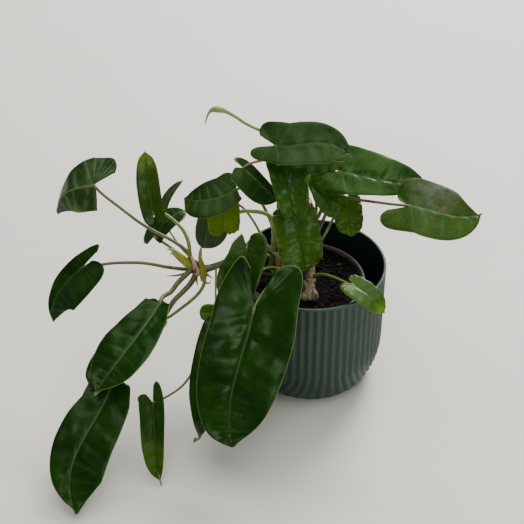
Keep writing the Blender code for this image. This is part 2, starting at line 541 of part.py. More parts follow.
def pot_faces(bm):
    """The outer pot: ribbed outside, flat rim, plain inside and a flat base."""
    columns = 3 * RIBS
    run_in = POT_HEIGHT - RIM_BAND - RIB_RUN_IN
    heights = [POT_HEIGHT, POT_HEIGHT - RIM_BAND, run_in]
    heights += [CORNER_HEIGHT * share for share in OUTER_CORNER]
    outside = [[bm.verts.new(pot_point(c, z)) for c in range(columns)] for z in heights]
    for upper, lower in zip(outside[:-1], outside[1:]):
        for c in range(columns):
            d = (c + 1) % columns
            bm.faces.new((upper[c], lower[c], lower[d], upper[d]))
    bm.faces.new(list(reversed(outside[-1])))
    inner_heights = [POT_HEIGHT] + [CORNER_HEIGHT * share for share in INNER_CORNER] + [POT_FLOOR]
    inside = []
    for z in inner_heights:
        radius = wall_radius(z) - POT_WALL
        turns = [math.tau * rib / RIBS for rib in range(RIBS)]
        inside.append([bm.verts.new((radius * math.sin(a), -radius * math.cos(a), z)) for a in turns])
    for upper, lower in zip(inside[:-1], inside[1:]):
        for i in range(RIBS):
            j = (i + 1) % RIBS
            bm.faces.new((upper[j], lower[j], lower[i], upper[i]))
    bm.faces.new(inside[-1])
    for i in range(RIBS):
        rim = [outside[0][(3 * i + k) % columns] for k in range(4)]
        bm.faces.new(rim + [inside[0][(i + 1) % RIBS], inside[0][i]])


def make_outer_pot(collection):
    look = material("outer_pot_plastic", (0.060, 0.090, 0.078), 0.55)
    obj = add_object("outer_pot", mesh_from("outer_pot", pot_faces), collection, look)
    shade(obj, SHARP_POT)
    return obj


def turned(name, profile, steps, look, collection):
    """A solid turned from a profile of radius and height, outer side first from the top down."""
    mesh = bpy.data.meshes.new(name)
    edges = [(i, i + 1) for i in range(len(profile) - 1)]
    mesh.from_pydata([(radius, 0.0, z) for radius, z in profile], edges, [])
    obj = add_object(name, mesh, collection, look)
    screw = obj.modifiers.new("Turn", "SCREW")
    screw.steps = steps
    screw.render_steps = steps
    screw.use_merge_vertices = True
    screw.merge_threshold = 0.05 * MM
    screw.use_normal_calculate = True
    bpy.context.view_layer.update()
    apply_modifiers(obj)
    return obj


def nursery_radius(z):
    """The nursery pot's outside radius at a height above its own base."""
    return NURSERY_BASE_RADIUS + (NURSERY_TOP_RADIUS - NURSERY_BASE_RADIUS) * z / NURSERY_HEIGHT


def make_nursery_pot(collection):
    """A thin tapered shell with a lip, standing on the outer pot's floor."""
    lip = NURSERY_LIP
    top, lip_base = NURSERY_HEIGHT, NURSERY_HEIGHT - NURSERY_LIP_HEIGHT
    wall = NURSERY_WALL
    profile = [(nursery_radius(top) + lip, top), (nursery_radius(lip_base) + lip, lip_base),
               (nursery_radius(lip_base), lip_base), (NURSERY_BASE_RADIUS, 0.0), (0.0, 0.0)]
    profile_inside = [(0.0, wall), (NURSERY_BASE_RADIUS - wall, wall), (nursery_radius(top) - wall, top)]
    look = material("nursery_pot_plastic", (0.170, 0.130, 0.085), 0.6)
    obj = turned("nursery_pot", profile + profile_inside + profile[:1], NURSERY_STEPS, look, collection)
    obj.location = (*NURSERY_CENTRE, POT_FLOOR + GAP)
    shade(obj, SHARP_POT)
    return obj


def soil_faces(bm):
    """Soil: a lumpy top in rings, and a plain tapered body down to the nursery pot's floor."""
    draw = np.random.default_rng(7)
    floor = POT_FLOOR + GAP
    bottom = floor + NURSERY_WALL + GAP
    clear = NURSERY_WALL + GAP

    def ring(radius, z, lump=0.0):
        turns = [math.tau * i / NURSERY_STEPS for i in range(NURSERY_STEPS)]
        x, y = NURSERY_CENTRE
        return [bm.verts.new((x + radius * math.cos(a), y + radius * math.sin(a),
                              z + lump * draw.uniform(-1, 1))) for a in turns]

    edge = nursery_radius(SOIL_TOP - SOIL_LUMP - floor) - clear
    foot = NURSERY_BASE_RADIUS - clear
    rings = [ring(foot, bottom), ring(edge, SOIL_TOP - SOIL_LUMP)]
    rings += [ring(edge * (1 - i / SOIL_RINGS), SOIL_TOP, SOIL_LUMP) for i in range(1, SOIL_RINGS)]
    bm.faces.new(list(reversed(rings[0])))
    middle = bm.verts.new((*NURSERY_CENTRE, SOIL_TOP))
    for low, high in zip(rings[:-1], rings[1:]):
        for i in range(NURSERY_STEPS):
            j = (i + 1) % NURSERY_STEPS
            bm.faces.new((low[i], low[j], high[j]))
            bm.faces.new((high[j], high[i], low[i]))
    for i in range(NURSERY_STEPS):
        bm.faces.new((rings[-1][i], rings[-1][(i + 1) % NURSERY_STEPS], middle))


def cut_holes(obj, stems, cutters):
    """Plain round holes in the soil for the stems that stand in it."""
    for name, stem in stems.items():
        foot = in_metres(stem)[0]
        widest = max(row[1] for row in stem[:2]) * MM
        middle = foot[2] - GAP + CUTTER_LENGTH / 2
        bpy.ops.mesh.primitive_cylinder_add(vertices=HOLE_SIDES, radius=widest + HOLE_CLEARANCE,
                                            depth=CUTTER_LENGTH, location=(foot[0], foot[1], middle))
        cutter = bpy.context.object
        cutter.name = "hole_" + name
        for home in list(cutter.users_collection):
            home.objects.unlink(cutter)
        cutters.objects.link(cutter)
        cutter.hide_render = True
        cutter.display_type = "WIRE"
        cut = obj.modifiers.new(cutter.name, "BOOLEAN")
        cut.operation = "DIFFERENCE"
        cut.object = cutter
        cut.solver = "EXACT"


def make_soil(collection, cutters):
    look = material("soil", (0.018, 0.013, 0.010), 0.95)
    obj = add_object("soil", mesh_from("soil", soil_faces), collection, look)
    cut_holes(obj, {"old_stem": OLD_STEM, "main_stem": MAIN_STEM}, cutters)
    return obj


def stem_rows(stem):
    return smooth_path(in_metres(stem), STEM_SPACING)


def make_stem(name, stem, look, collection, extra=()):
    """A stem, with its side growths joined to it."""
    obj = tube(name, stem_rows(stem), STEM_BEVEL, collection)
    obj.data.materials.append(look)
    pieces = [tube(name + "_growth", smooth_path(in_metres(growth), GROWTH_SPACING), STALK_BEVEL, collection)
              for growth in extra]
    if pieces:
        join(obj, pieces)
    shade(obj)
    return obj


def main():
    clear_scene()
    plant = bpy.data.collections.new("burle_marx_philodendron")
    cutters = bpy.data.collections.new("cutters")
    for collection in (plant, cutters):
        bpy.context.scene.collection.children.link(collection)
    make_outer_pot(plant)
    make_nursery_pot(plant)
    make_soil(plant, cutters)
    bark = material("old_stem_bark", (0.300, 0.240, 0.160), 0.8)
    stem_skin = material("stem_skin", (0.160, 0.140, 0.060), 0.6)
    make_stem("old_stem", OLD_STEM, bark, plant)
    make_stem("trailing_stem", MAIN_STEM, stem_skin, plant, (RUNNER, *SPIKES))
    stems = {"old": stem_rows(OLD_STEM), "main": stem_rows(MAIN_STEM), "runner": stem_rows(RUNNER)}
    for leaf in LEAVES:
        make_leaf(leaf, stems, plant)
    rolled = smooth_path(trim_to_stem(in_metres(NEW_LEAF), stems["old"]), SHORT_STEP)
    new_leaf = tube("leaf_new_rolled", rolled, STALK_BEVEL, plant)
    new_leaf.data.materials.append(material("leaf_new", (0.180, 0.300, 0.060), 0.45))
    shade(new_leaf)


main()
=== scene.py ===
"""Visual model of a burle marx philodendron in its nursery pot and ribbed outer pot."""

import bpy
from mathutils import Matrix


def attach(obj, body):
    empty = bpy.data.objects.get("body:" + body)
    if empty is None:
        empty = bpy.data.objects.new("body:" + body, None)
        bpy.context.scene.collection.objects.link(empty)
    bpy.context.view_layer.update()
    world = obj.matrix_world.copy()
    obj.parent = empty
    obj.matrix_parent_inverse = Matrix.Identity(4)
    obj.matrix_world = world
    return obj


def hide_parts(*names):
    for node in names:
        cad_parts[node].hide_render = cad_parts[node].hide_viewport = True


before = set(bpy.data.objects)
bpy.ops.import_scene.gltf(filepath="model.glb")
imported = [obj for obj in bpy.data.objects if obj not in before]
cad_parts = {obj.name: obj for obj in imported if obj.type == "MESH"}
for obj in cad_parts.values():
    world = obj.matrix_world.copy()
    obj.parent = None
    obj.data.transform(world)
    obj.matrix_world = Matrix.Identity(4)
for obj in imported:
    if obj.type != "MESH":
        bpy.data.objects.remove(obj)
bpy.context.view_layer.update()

from math import cos, exp, hypot, pi, radians, sin, sqrt, tau

import bmesh
import bpy
import numpy as np
from mathutils import noise, Vector

MM = 0.001
UP = np.array((0, 0, 1))
FRONT = np.array((0, -1, 0))

# Outer pot, as in the solids
POT_RADIUS = 70 * MM
POT_HEIGHT = 128 * MM
POT_WALL = 2.5 * MM
POT_FLOOR = 3 * MM
POT_DRAFT = 0.008
CORNER_HEIGHT = 50 * MM
BASE_RADIUS = 47 * MM
RIM_BAND = 2 * MM
RIM_ROUND = 0.8 * MM
RIBS = 58
RIB_COLUMNS = 12
RIB_DEPTH = 1.6 * MM
RIB_RUN_IN = 1.5 * MM
FADE_HEIGHT = CORNER_HEIGHT * 0.22  # below this the ribs grow shallow
SWEEP_HEIGHT = 40 * MM  # below this they turn sideways
SWEEP_ANGLE = radians(26)
PARTING = radians(10)

# Nursery pot and soil, as in the solids
NURSERY_X, NURSERY_Y = -6 * MM, 3 * MM
NURSERY_TOP_RADIUS = 56 * MM
NURSERY_BASE_RADIUS = 39 * MM
NURSERY_HEIGHT = 104 * MM
NURSERY_WALL = 1.2 * MM
NURSERY_LIP = 1.2 * MM
NURSERY_LIP_HEIGHT = 4 * MM
NURSERY_FLOOR = POT_FLOOR + 0.3 * MM
SOIL_TOP = 102 * MM
SOIL_GAP = 0.2 * MM

# Leaves
LEAF_THICKNESS = 0.42 * MM
VEIN_LEAD = 0.16
TIP_OPENING = 0.3
STALK_SPREAD = 1.25
STALK_NARROW = 0.85
RIB_REACH = 0.9
RIB_SHARES = (0.05, 0.15, 0.3, 0.45, 0.6, 0.75, RIB_REACH)

# One half of a blade's outline from lobe end to tip: midrib lengths ahead, and half widths out
# for a slim blade and for a full one
OUTLINE = ((-0.8, 0.16, 0.16), (-0.97, 0.33, 0.33), (-1, 0.55, 0.55), (-0.84, 0.76, 0.76), (-0.5, 0.91, 0.9),
           (0, 0.99, 0.97), (0.2, 1, 1), (0.42, 0.965, 1), (0.61, 0.86, 0.96), (0.78, 0.64, 0.84),
           (0.9, 0.36, 0.61), (0.965, 0.12, 0.28), (1, 0.035, 0.05), (1.04, 0, 0))
WAVE_SPAN = 13 / 12  # the outline above is this much longer than the solids'
WAVES = 2.5  # slow waves of one half's margin
RUFFLES = 8.5  # quick waves of a ruffled margin on one half
QUILT = 0.085  # how far the blade swells between veins, over their spacing
VEIN_WIDTH = 0.16  # of a side vein, over the veins' spacing
RIB_TROUGH = 0.55 * MM  # depth of the trough along the midrib
MARGIN_ROLL = 0.5 * MM  # how far the margin turns down
MARGIN_WIDTH = 0.32 * MM  # of the pale line along it
UNDULATION = 1.4 * MM  # slow unevenness of a large blade

# Stems: x, y and z of points on the axis and the radius there, in millimetres
OLD_STEM = ((-3, -20, 90.5, 3.6), (-3, -20, 98, 4.2), (-3, -19, 105, 4.4), (-2, -12, 112, 4.6),
            (-2, -3, 120, 4.2), (-3, 8, 133, 3.6), (-3, 15, 151, 3.2), (-2, 19, 167, 2.6))
MAIN_STEM = ((-27, 8, 90.5, 3.6), (-27, 8, 102, 4.4), (-28, 10, 114, 4.6), (-29, 13, 124.5, 3.4),
             (-29.5, 14.5, 129.5, 1))
RUNNER = ((-28, 11, 111, 3), (-40, 15, 122, 3), (-55, 11, 131, 3), (-68, 4, 134, 3), (-83, -5, 131.5, 3),
          (-96, -10, 129.5, 3.4), (-105, -13, 130, 5.4), (-112, -12, 136, 5), (-116, -10, 141, 2.4))

# Each stem's piece: its look, node and slot, and its scars' spacing, its roughness and a seed
STEM_PIECES = (
    ("old_gnarled_stem", OLD_STEM, "bark", "old_stem", "old_stem_bark", 5.5, 0.26, 3),
    ("main_stem", MAIN_STEM, "stem", "trailing_stem", "stem_skin", 6, 0.1, 9),
    ("runner_stem", RUNNER, "stem", "trailing_stem", "stem_skin", 11, 0.1, 5),
)

# Bracts, stubs and rootlets on the runner: their look, how flat they are, and rows like a stem's
SPIKES = (
    ("claw_bright", 0.9, (-112, -13, 135, 2.4), (-120, -14, 143, 3.4), (-125, -14, 148.5, 2.9),
     (-129.5, -13, 152.5, 1.8), (-132.5, -13, 153.5, 0.9), (-135.5, -13, 153, 0.3)),
    ("claw", 0.9, (-108, -11, 130, 1.6), (-117, -11, 124.5, 1.4), (-127, -13, 123, 1.1),
     (-136, -14, 123, 0.4)),
    ("claw_bright", 0.9, (-103, -13, 128, 2.6), (-102.5, -14, 134, 2.5), (-103.5, -14, 140, 2),
     (-104.5, -13, 147, 1.2), (-103.5, -12, 154.5, 0.4)),
    ("husk_pink", 0.8, (-104, -12, 128, 2), (-98, -10, 121, 1.4), (-94, -9, 116, 0.6)),
    ("root", 1, (-86, -6, 131, 0.8), (-87, -9, 125, 0.7), (-87, -11, 120, 0.6), (-85, -12, 116, 0.5),
     (-82, -12, 117, 0.4)),
)

# Small dry parts round the growth point and the old stem, which the solids leave out
FINE_SPIKES = (
    ("claw_bright", 0.7, (-112, -14, 133, 3.6), (-116.5, -16, 138, 3.9), (-121, -16.5, 143, 3.4),
     (-126, -16, 147.5, 2.4), (-130, -15, 150.5, 1.4), (-132.5, -15, 149, 0.4)),
    ("claw_bright", 0.8, (-103, -14.5, 119, 2.2), (-102, -16, 124, 3.6), (-102.3, -16.5, 130, 3.8),
     (-103, -16, 136, 3), (-104, -15, 142, 2), (-104.5, -14.5, 147, 1.3)),
    ("husk_brown", 0.7, (-105, -14, 142, 1.5), (-104.3, -14, 148, 1.7), (-103.8, -13.5, 153, 1.3),
     (-103, -13, 157, 0.4)),
    ("husk_pink", 0.9, (-104, -17, 121, 1.4), (-100, -18, 118.5, 1.3), (-96.5, -18, 117.5, 1),
     (-95.5, -17, 119.5, 0.4)),
    ("husk_pink", 0.6, (-110, -17, 133, 2.2), (-109.4, -18.5, 139, 2), (-110.9, -18, 144.5, 1.3),
     (-113, -17, 149, 0.4)),
    ("husk_pink", 0.6, (-107.5, -18.5, 128, 1.9), (-106.6, -19.5, 133, 1.7), (-107.5, -19, 138, 0.6)),
    ("claw", 0.9, (-108.6, -17.5, 126, 1.5), (-108.2, -18.5, 120.5, 1), (-107.5, -18, 115, 0.4)),
    ("knob", 0.9, (-115.5, -14, 130.5, 2.8), (-113, -16.5, 131.5, 3.2), (-110.5, -17, 131, 2.4)),
    ("husk", 0.5, (-32, -3, 128, 2.2), (-31.5, -5, 136, 2.6), (-32.5, -4, 143, 1.2)),
    ("husk", 0.5, (-28, -6, 124, 2.4), (-26, -8, 131, 3), (-24.5, -8, 138, 1.4)),
    ("husk", 0.9, (-7, 3, 205, 0.6), (-2.5, 9, 194, 0.6), (0.5, 12, 184, 0.7), (5, 13, 174, 0.3)),
    ("husk", 0.9, (-5, 6, 200, 0.5), (-3, 10, 188, 0.4), (-1, 13, 176, 0.3)),
    ("bark", 0.9, (-6, -22, 100, 3), (-7.5, -24, 105, 3.4), (-6.5, -23, 109.5, 2.6), (-4, -20, 113, 1.2)),
    ("bark", 0.9, (1.5, -23, 101, 2.6), (3.2, -24, 105, 3), (3, -22, 109, 2.2), (1, -19, 112, 1)),
    ("bark", 0.9, (-2, -25, 102.5, 1.6), (-2.5, -26.5, 106, 2), (-2, -25, 110, 1)),
    ("husk", 0.8, (-4, -20, 110, 2.4), (-6, -19, 116, 2.2), (-8, -18, 121, 0.8)),
)

# The new leaf, still rolled: stalk, knob and thin drooping point
NEW_LEAF = ((-2, 18, 162, 1.7), (-4, 28, 170, 1.6), (-5, 40, 188, 1.6), (-12, 50, 212, 1.5),
            (-25, 52, 229, 1.4), (-38, 49, 239, 1.4), (-50, 45, 247, 1.4), (-62, 43, 255, 1.4),
            (-70, 42, 262, 1.5), (-79, 42, 268, 1.8), (-85, 42, 270.4, 3), (-90.5, 42, 270.6, 2.7),
            (-94.5, 42, 268, 1.3), (-97, 41, 263, 0.9), (-99, 40, 256, 0.4))

# Each leaf, in millimetres and degrees: where its blade starts and ends, the widths of its left
# and right half seen from the stalk, how it differs from LEAF_DEFAULTS, and its stalk's route.
# PAIRED fields have one number or two: lobe to wedge for the left and right half, arch and bend
# for the midrib's start and end. look replaces the look of the age. quilt to trough shape the
# surface. rib, vein and edge say how pale those are, fresh how yellow-green the blade is, and ash
# how grey it is in streaks along its veins, a grey tone with painted sheen on it. Patches are
# spots of a mark: its strength, middle and reach.
LEAVES = dict(
    left_curled=((-205, 38, 190.5), (-244, 50, 148.5), (23, 24.5), dict(roll=-25, lobe=(0.05, 0.5),
      fold=(-50, 0), blunt=(0.15, -0.7), taper=(0.3, 0.9), spread=(8, 22), arch=(0.3, 0.25),
      bend=(-0.02, 0.1), wave=1, stalk=1.5, skin="olive", look="dull", quilt=0.8, drip=0, rib=0.9, vein=0.3,
      ash=1, patches=(("fresh", 0.5, (-222, 30, 160), 14),)), (-111, -9, 136), (-118, -1, 143),
      (-131, 6, 149.5), (-144, 11, 154), (-161, 18, 161), (-180.5, 27, 172.5), (-196, 33, 183)),
    left_upright=((-148, 15, 173), (-155, 40, 226), (11, 11), dict(age="mid", lobe=0.15, fold=10,
      arch=(0, 0.1), bend=(-0.05, -0.03), stalk=1.6, look="dark", rib=0.4, fresh=0.12,
      patches=(("fresh", 0.5, (-155, 40, 230), 30),)), (-112, -12, 135), (-114, -11, 146), (-115, -6, 155),
      (-118, 1, 160), (-122, 6, 164), (-128, 12, 167), (-137, 18, 171), (-145, 20, 172)),
    left_young=((-150, 25, 140), (-120, 45, 156), (15, 13), dict(lobe=(0.3, 0.03), fold=0, arch=0.2,
      rib=0.3, ash=0.3), (-110, -11, 134), (-121, -6, 138), (-130, 4, 140), (-140, 15, 140)),
    left_thin=((-143, 50, 142), (-124, 75, 170), (6, 4), dict(age="under", fold=0, blunt=0.5, arch=0.1,
      bend=-0.12, stalk=1, ash=0.6), (-108, -11, 132), (-115, 2, 133), (-124, 20, 130), (-134, 38, 133)),
    left_low=((-213, -20, 139), (-241, -50, 99), (32, 12), dict(lobe=(0.2275, 0.42), fold=10,
      blunt=(1, -0.35), taper=(0, 0.25), spread=(-10, -4), bend=(0.1, 0.3), wave=1, stalk=1.5, skin="olive",
      drip=0.6, rib=0.3), (-108, -13, 130), (-120, -12.5, 130), (-137, -14, 134), (-151, -16, 139),
      (-165, -18, 142), (-184.5, -20, 143), (-201, -21, 141)),
    hanging_upper=((-140, -60, 128), (-194, -130, 84), (23, 26), dict(lobe=(0.035, 0.03),
      blunt=(-0.2, -0.05), taper=(-1.25, -1.05), spread=(9, 8), bend=(-0.06, 0), wave=1.5, stalk=2.2,
      skin="olive", quilt=1.5, veins=19, drip=1, rib=0.75, edge=0.8), (-110, -13, 134), (-117, -21, 131),
      (-125, -29, 127), (-131, -40, 125), (-137.5, -50, 127.5)),
    hanging_under=((-152, -56, 108), (-201, -117, 76), (26, 19), dict(lobe=0.1, taper=-0.25),
      (-101, -12, 129), (-101, -22, 121), (-106, -28, 114), (-114, -33, 108), (-122, -38, 104),
      (-131, -45, 101), (-141, -51, 99), (-148, -54, 102)),
    hanging_long=((-182.5, -113, 76), (-210.5, -205, 8), (30, 26), dict(lobe=(0.055, 0.045),
      blunt=(0.6, -0.5), taper=(-0.9, -0.5), spread=(10, 12), bend=(0, 0.28), wave=1.8, stalk=2.2,
      skin="olive", veins=17, drip=0.2, rib=0.7, edge=0.35), (-107, -13, 130), (-113, -23, 122.5),
      (-121, -32, 118), (-129, -42, 115), (-137, -54, 107), (-147.5, -72, 95.5), (-165.5, -94, 83.5)),
    hanging_slim=((-145.5, -122, 63), (-139, -165, 8), (9, 14), dict(lobe=(0.264, 0.176), fold=20,
      blunt=0.5, taper=(0.4, 0), spread=(0, 30), bend=(0, 0.05), stalk=1.2, skin="olive", look="dull",
      drip=2.2, rib=0.1, edge=0.3, patches=(("fresh", 0.22, (-150, -160, 20), 34),)), (-28, 8, 107),
      (-30, 2, 110), (-38, -6, 118), (-50, -14, 127), (-62, -22, 131.7), (-71, -33, 131), (-82, -50, 119),
      (-92, -68, 102), (-104, -86, 83), (-118, -104, 69), (-134, -117, 65)),
    # The next leaf has a patch of grey tone with painted sheen at its tip.
    front_under=((-78, -80, 113), (-104, -140, 35), (22, 24), dict(lobe=0.12, blunt=-0.3, taper=(0.3, 0),
      wave=1.2, stalk=1.5, drip=1.3, hook=0.9, rib=0.3, edge=0.5,
      patches=(("ash", 1, (-104, -140, 35), 18),)), (-28, 10, 114), (-30, 5, 117), (-44, -12, 130),
      (-62, -34, 133), (-75, -50, 128), (-80, -66, 120.5)),
    front_large=((-54.5, -85, 141.5), (-73, -155, 40), (42.5, 35.5), dict(lobe=(0.399, 0.38),
      blunt=(0.5, 0.9), taper=(-0.05, 0.1), spread=(14, 10), wedge=(0, 0.4), bend=(0, 0.14), wave=1.8,
      stalk=2, quilt=1.4, veins=14, drift=0.8, drip=0.1, rib=0.5, vein=0, edge=0.8), (-27.5, 9, 110),
      (-27, 4, 114), (-30, -14, 129), (-35, -42, 142), (-45.5, -68, 146.5)),
    front_middle=((-61, -25, 165.5), (-64, -63, 126), (18, 21), dict(lobe=0.24, fold=10, blunt=(0.75, 0.55),
      taper=(0.3, -0.75), spread=(-3, 16), wedge=(0, 0.7), bend=(0, 0.14), stalk=1.5, rib=0.3, edge=0.4,
      fresh=0.05), (-28, 11, 119), (-31, 8, 124), (-39, 1, 139), (-48, -6, 153), (-56, -14, 162.5)),
    small_bud=((-90, -62, 118), (-104, -62, 119), (8, 8), dict(age="young", roll=-50, fold=10, stalk=0.9),
      (-90, -7, 131), (-90, -20, 127), (-90, -38, 121), (-89, -52, 118)),
    back_left=((-72, 20, 198), (-119, 20, 188), (17.5, 19.5), dict(roll=-30, lobe=(0.045, 0.165),
      blunt=(0.7, 0.3), taper=(-0.75, 0.1), spread=(16, 0), arch=(0, 0.05), bend=(-0.18, -0.16), look="dull",
      rib=0.55, vein=0.35, ash=0.2), (-29, 13, 124), (-35, 22, 145), (-42, 27, 165), (-52, 28, 185),
      (-62, 25, 196)),
    left_drooping=((-93, 48, 158), (-106, 48, 109), (21, 12), dict(age="under", roll=-75, lobe=0.1,
      blunt=0.5, stalk=1.2), (-28, 12, 121), (-34, 18, 124), (-44, 27, 131), (-54, 42, 143), (-66, 52, 155),
      (-80, 54, 161)),
    young_raised=((-83, 25, 148), (-85, 35, 193), (16, 16), dict(age="young", lobe=0.12, blunt=0.5,
      taper=-0.15, wedge=0.2, stalk=2, skin="cream", quilt=1.6, ruffle=1, fresh=1), (-28, 9, 107),
      (-35, 8, 109), (-39, 7, 117), (-37.5, 8.5, 130), (-36, 12, 152), (-38, 15, 168), (-45, 18, 172.5),
      (-55, 22, 171.5), (-66, 29, 166.5), (-75, 33, 158), (-81, 31, 149.5)),
    top=((-35.5, 20, 246.5), (32, 0, 247.5), (22, 21), dict(roll=35, lobe=0.306, blunt=(-0.25, 0.5),
      taper=(0.05, -0.4), spread=(17, 5), bend=(0, -0.28), wave=1, stalk=1.6, look="pale", quilt=1.6,
      drip=0.7, trough=0.6, rib=0.15, vein=0.2, ash=0.1), (-2, 18, 164), (-7, 23, 172), (-11, 31, 190),
      (-19, 38, 218), (-29.5, 35, 239.5)),
    top_left=((-64.5, 30, 215.5), (-32, 12, 191.5), (8, 20), dict(roll=20, lobe=(0.25, 0.19),
      blunt=(0.95, 0.35), taper=(0.2, -0.25), spread=(-15, 25), bend=(0, 0.05), stalk=1.3, skin="pink",
      look="dull", rib=0.5, edge=0.8), (-29, 13, 123), (-29, 19, 128), (-32, 28, 145), (-32, 35, 170),
      (-32, 39, 200), (-35, 38, 215), (-41, 34, 222), (-49.5, 31, 222), (-58, 31, 219.5)),
    crown_left=((-27, 20, 229), (-17, -15, 183), (17, 15.5), dict(taper=(0.1, 0.45), look="mid", quilt=1.8,
      drift=2, ruffle=0.8, rib=0.15, edge=0.35, fresh=0.03), (-3, 14, 148), (-7, 17, 157), (-12, 22, 178),
      (-17, 27, 200), (-23, 30, 219)),
    crown_right=((7, 42, 203), (19, 5, 176), (12, 15), dict(age="mid", blunt=0.5, stalk=1.3, look="mid",
      quilt=1.6, drift=1.6, ruffle=0.8, rib=0.4, edge=0.35, fresh=0.05), (-3, 15, 152), (2, 18, 157),
      (4, 27, 171), (3, 39, 189), (5, 45, 199)),
    right_upper=((25.5, 35, 208), (106, 20, 204), (26, 19.5), dict(roll=30, lobe=0.3, blunt=(0.2, -0.7),
      taper=(0.15, 0.75), spread=(0, -8), bend=(0.02, 0.12), wave=1.4, stalk=1.5, skin="olive", look="mid",
      quilt=2.8, veins=15, drift=1.4, drip=0.6, trough=0.4, vein=0.35), (-2, 17, 161), (6, 20, 168),
      (12, 31, 180), (19, 44, 193), (25, 44, 201.5)),
    # The next leaf has a broad patch of grey tone with painted sheen, beside its tan scars.
    far_right=((87, -8, 199.5), (150.5, -18, 198), (28.5, 30), dict(roll=25, lobe=(0.171, 0.418),
      blunt=(-0.6, -0.1), taper=(-0.1, -0.15), spread=(-12, 10), bend=(0.02, 0.22), wave=1.6, skin="olive",
      look="dull", quilt=2.2, trough=0.3, rib=0.6, vein=0.3, edge=0.5, fresh=0.12,
      patches=(("scar", 0.9, (110, -14, 203), 17), ("scar", 0.5, (146, -14, 203), 10),
      ("ash", 0.9, (108, 10, 206), 34), ("scar", 0.35, (126, -2, 206), 22))), (-3, 12, 145), (5, 16, 151),
      (12, 24, 165), (18, 30, 179), (25, 27, 186), (32, 18, 190), (44, 10, 193), (60, 2, 196), (74, -4, 198)),
    right_young=((33, 35, 176), (37, 10, 152), (13, 15), dict(age="young", stalk=1.2, look="mid", quilt=2.5,
      drift=1.8, ruffle=1.6, rib=0.25, edge=0.5, fresh=0.2), (-3, 8, 132), (4, 11, 138), (12, 18, 147),
      (21, 29, 160), (29, 37, 171)),
    centre=((-17, 5, 179), (-7, -20, 133), (21.5, 23), dict(age="mid", wave=1.4, quilt=2.4, drift=2.4,
      ruffle=1.2, drip=0.3, rib=0.1, edge=0.4, fresh=0.12), (-3, 6, 130), (-8, 6, 139), (-14, 8, 153),
      (-19, 10, 167), (-19, 9, 175)),
    rim_young=((37, -45, 137), (64, -65, 121), (12, 14), dict(age="young", roll=10, lobe=0.25, blunt=0.5,
      arch=(0.1, 0.2), stalk=1.3, look="mid", quilt=1.6, ruffle=0.3, rib=0.3, edge=0.4, fresh=0.12, ash=0.2,
      patches=(("fresh", 0.8, (66, -66, 121), 18),)), (-2, -5, 116), (4, -10, 121), (9, -14, 125),
      (15, -21, 129), (22, -29, 132), (30, -39, 135)),
)
LEAF_DEFAULTS = dict(
    age="dark", roll=0, lobe=0.2, fold=5, blunt=1, taper=0, spread=0, wedge=0, arch=0.04, bend=0, wave=0,
    stalk=1.4, skin="green", look=None, quilt=1, veins=13, drift=1, ruffle=0, drip=0.5, hook=0, trough=1,
    rib=0.35, vein=0.12, edge=0.15, fresh=0, ash=0.05, patches=())

PAIRED = ("lobe", "fold", "blunt", "taper", "spread", "wedge", "arch", "bend")

# The ruffled edge under the top leaf: x, height of its top, how far it hangs down, all in
# millimetres, and how yellow-green it is
FRILL = ((-43.5, 235, 5, 1), (-36, 236, 9, 1), (-28, 236, 9.5, 1), (-18, 236, 9, 0.6), (-10, 235, 14, 0),
         (0, 235, 16, 0), (12, 234, 15, 0), (19, 232, 11, 0.2), (27, 231, 7, 0.2))
FRILL_BACK = 16  # its distance behind the pot's centre line
FRILL_WAVES = 6

# Dry sheaths: the stem, the stretch of it, how far round, turned how far, and how far it stands off
WRAPS = (
    (MAIN_STEM, 0.25, 0.92, 95, 40, 0.5),
    (MAIN_STEM, 0.35, 0.98, 70, 190, 0.9),
    (OLD_STEM, 0.22, 0.5, 80, 120, 0.45),
    (OLD_STEM, 0.5, 0.8, 70, 300, 0.5),
    (RUNNER, 0.7, 0.98, 80, 90, 0.5),
)

# Upper side of a leaf: two mingled greens, roughness and, where it is duller, its gloss
LEAF_TOPS = dict(
    dark=((0.0018, 0.02, 0.0002), (0.0085, 0.046, 0.0006), 0.26),
    mid=((0.009, 0.044, 0.0006), (0.022, 0.076, 0.002), 0.28),
    young=((0.03, 0.09, 0.002), (0.068, 0.145, 0.006), 0.34),
    dull=((0.0045, 0.024, 0.001), (0.014, 0.05, 0.003), 0.34, 0.15),
    pale=((0.011, 0.044, 0.005), (0.026, 0.072, 0.012), 0.36),
    under=((0.018, 0.036, 0.007), (0.036, 0.06, 0.015), 0.45),
)
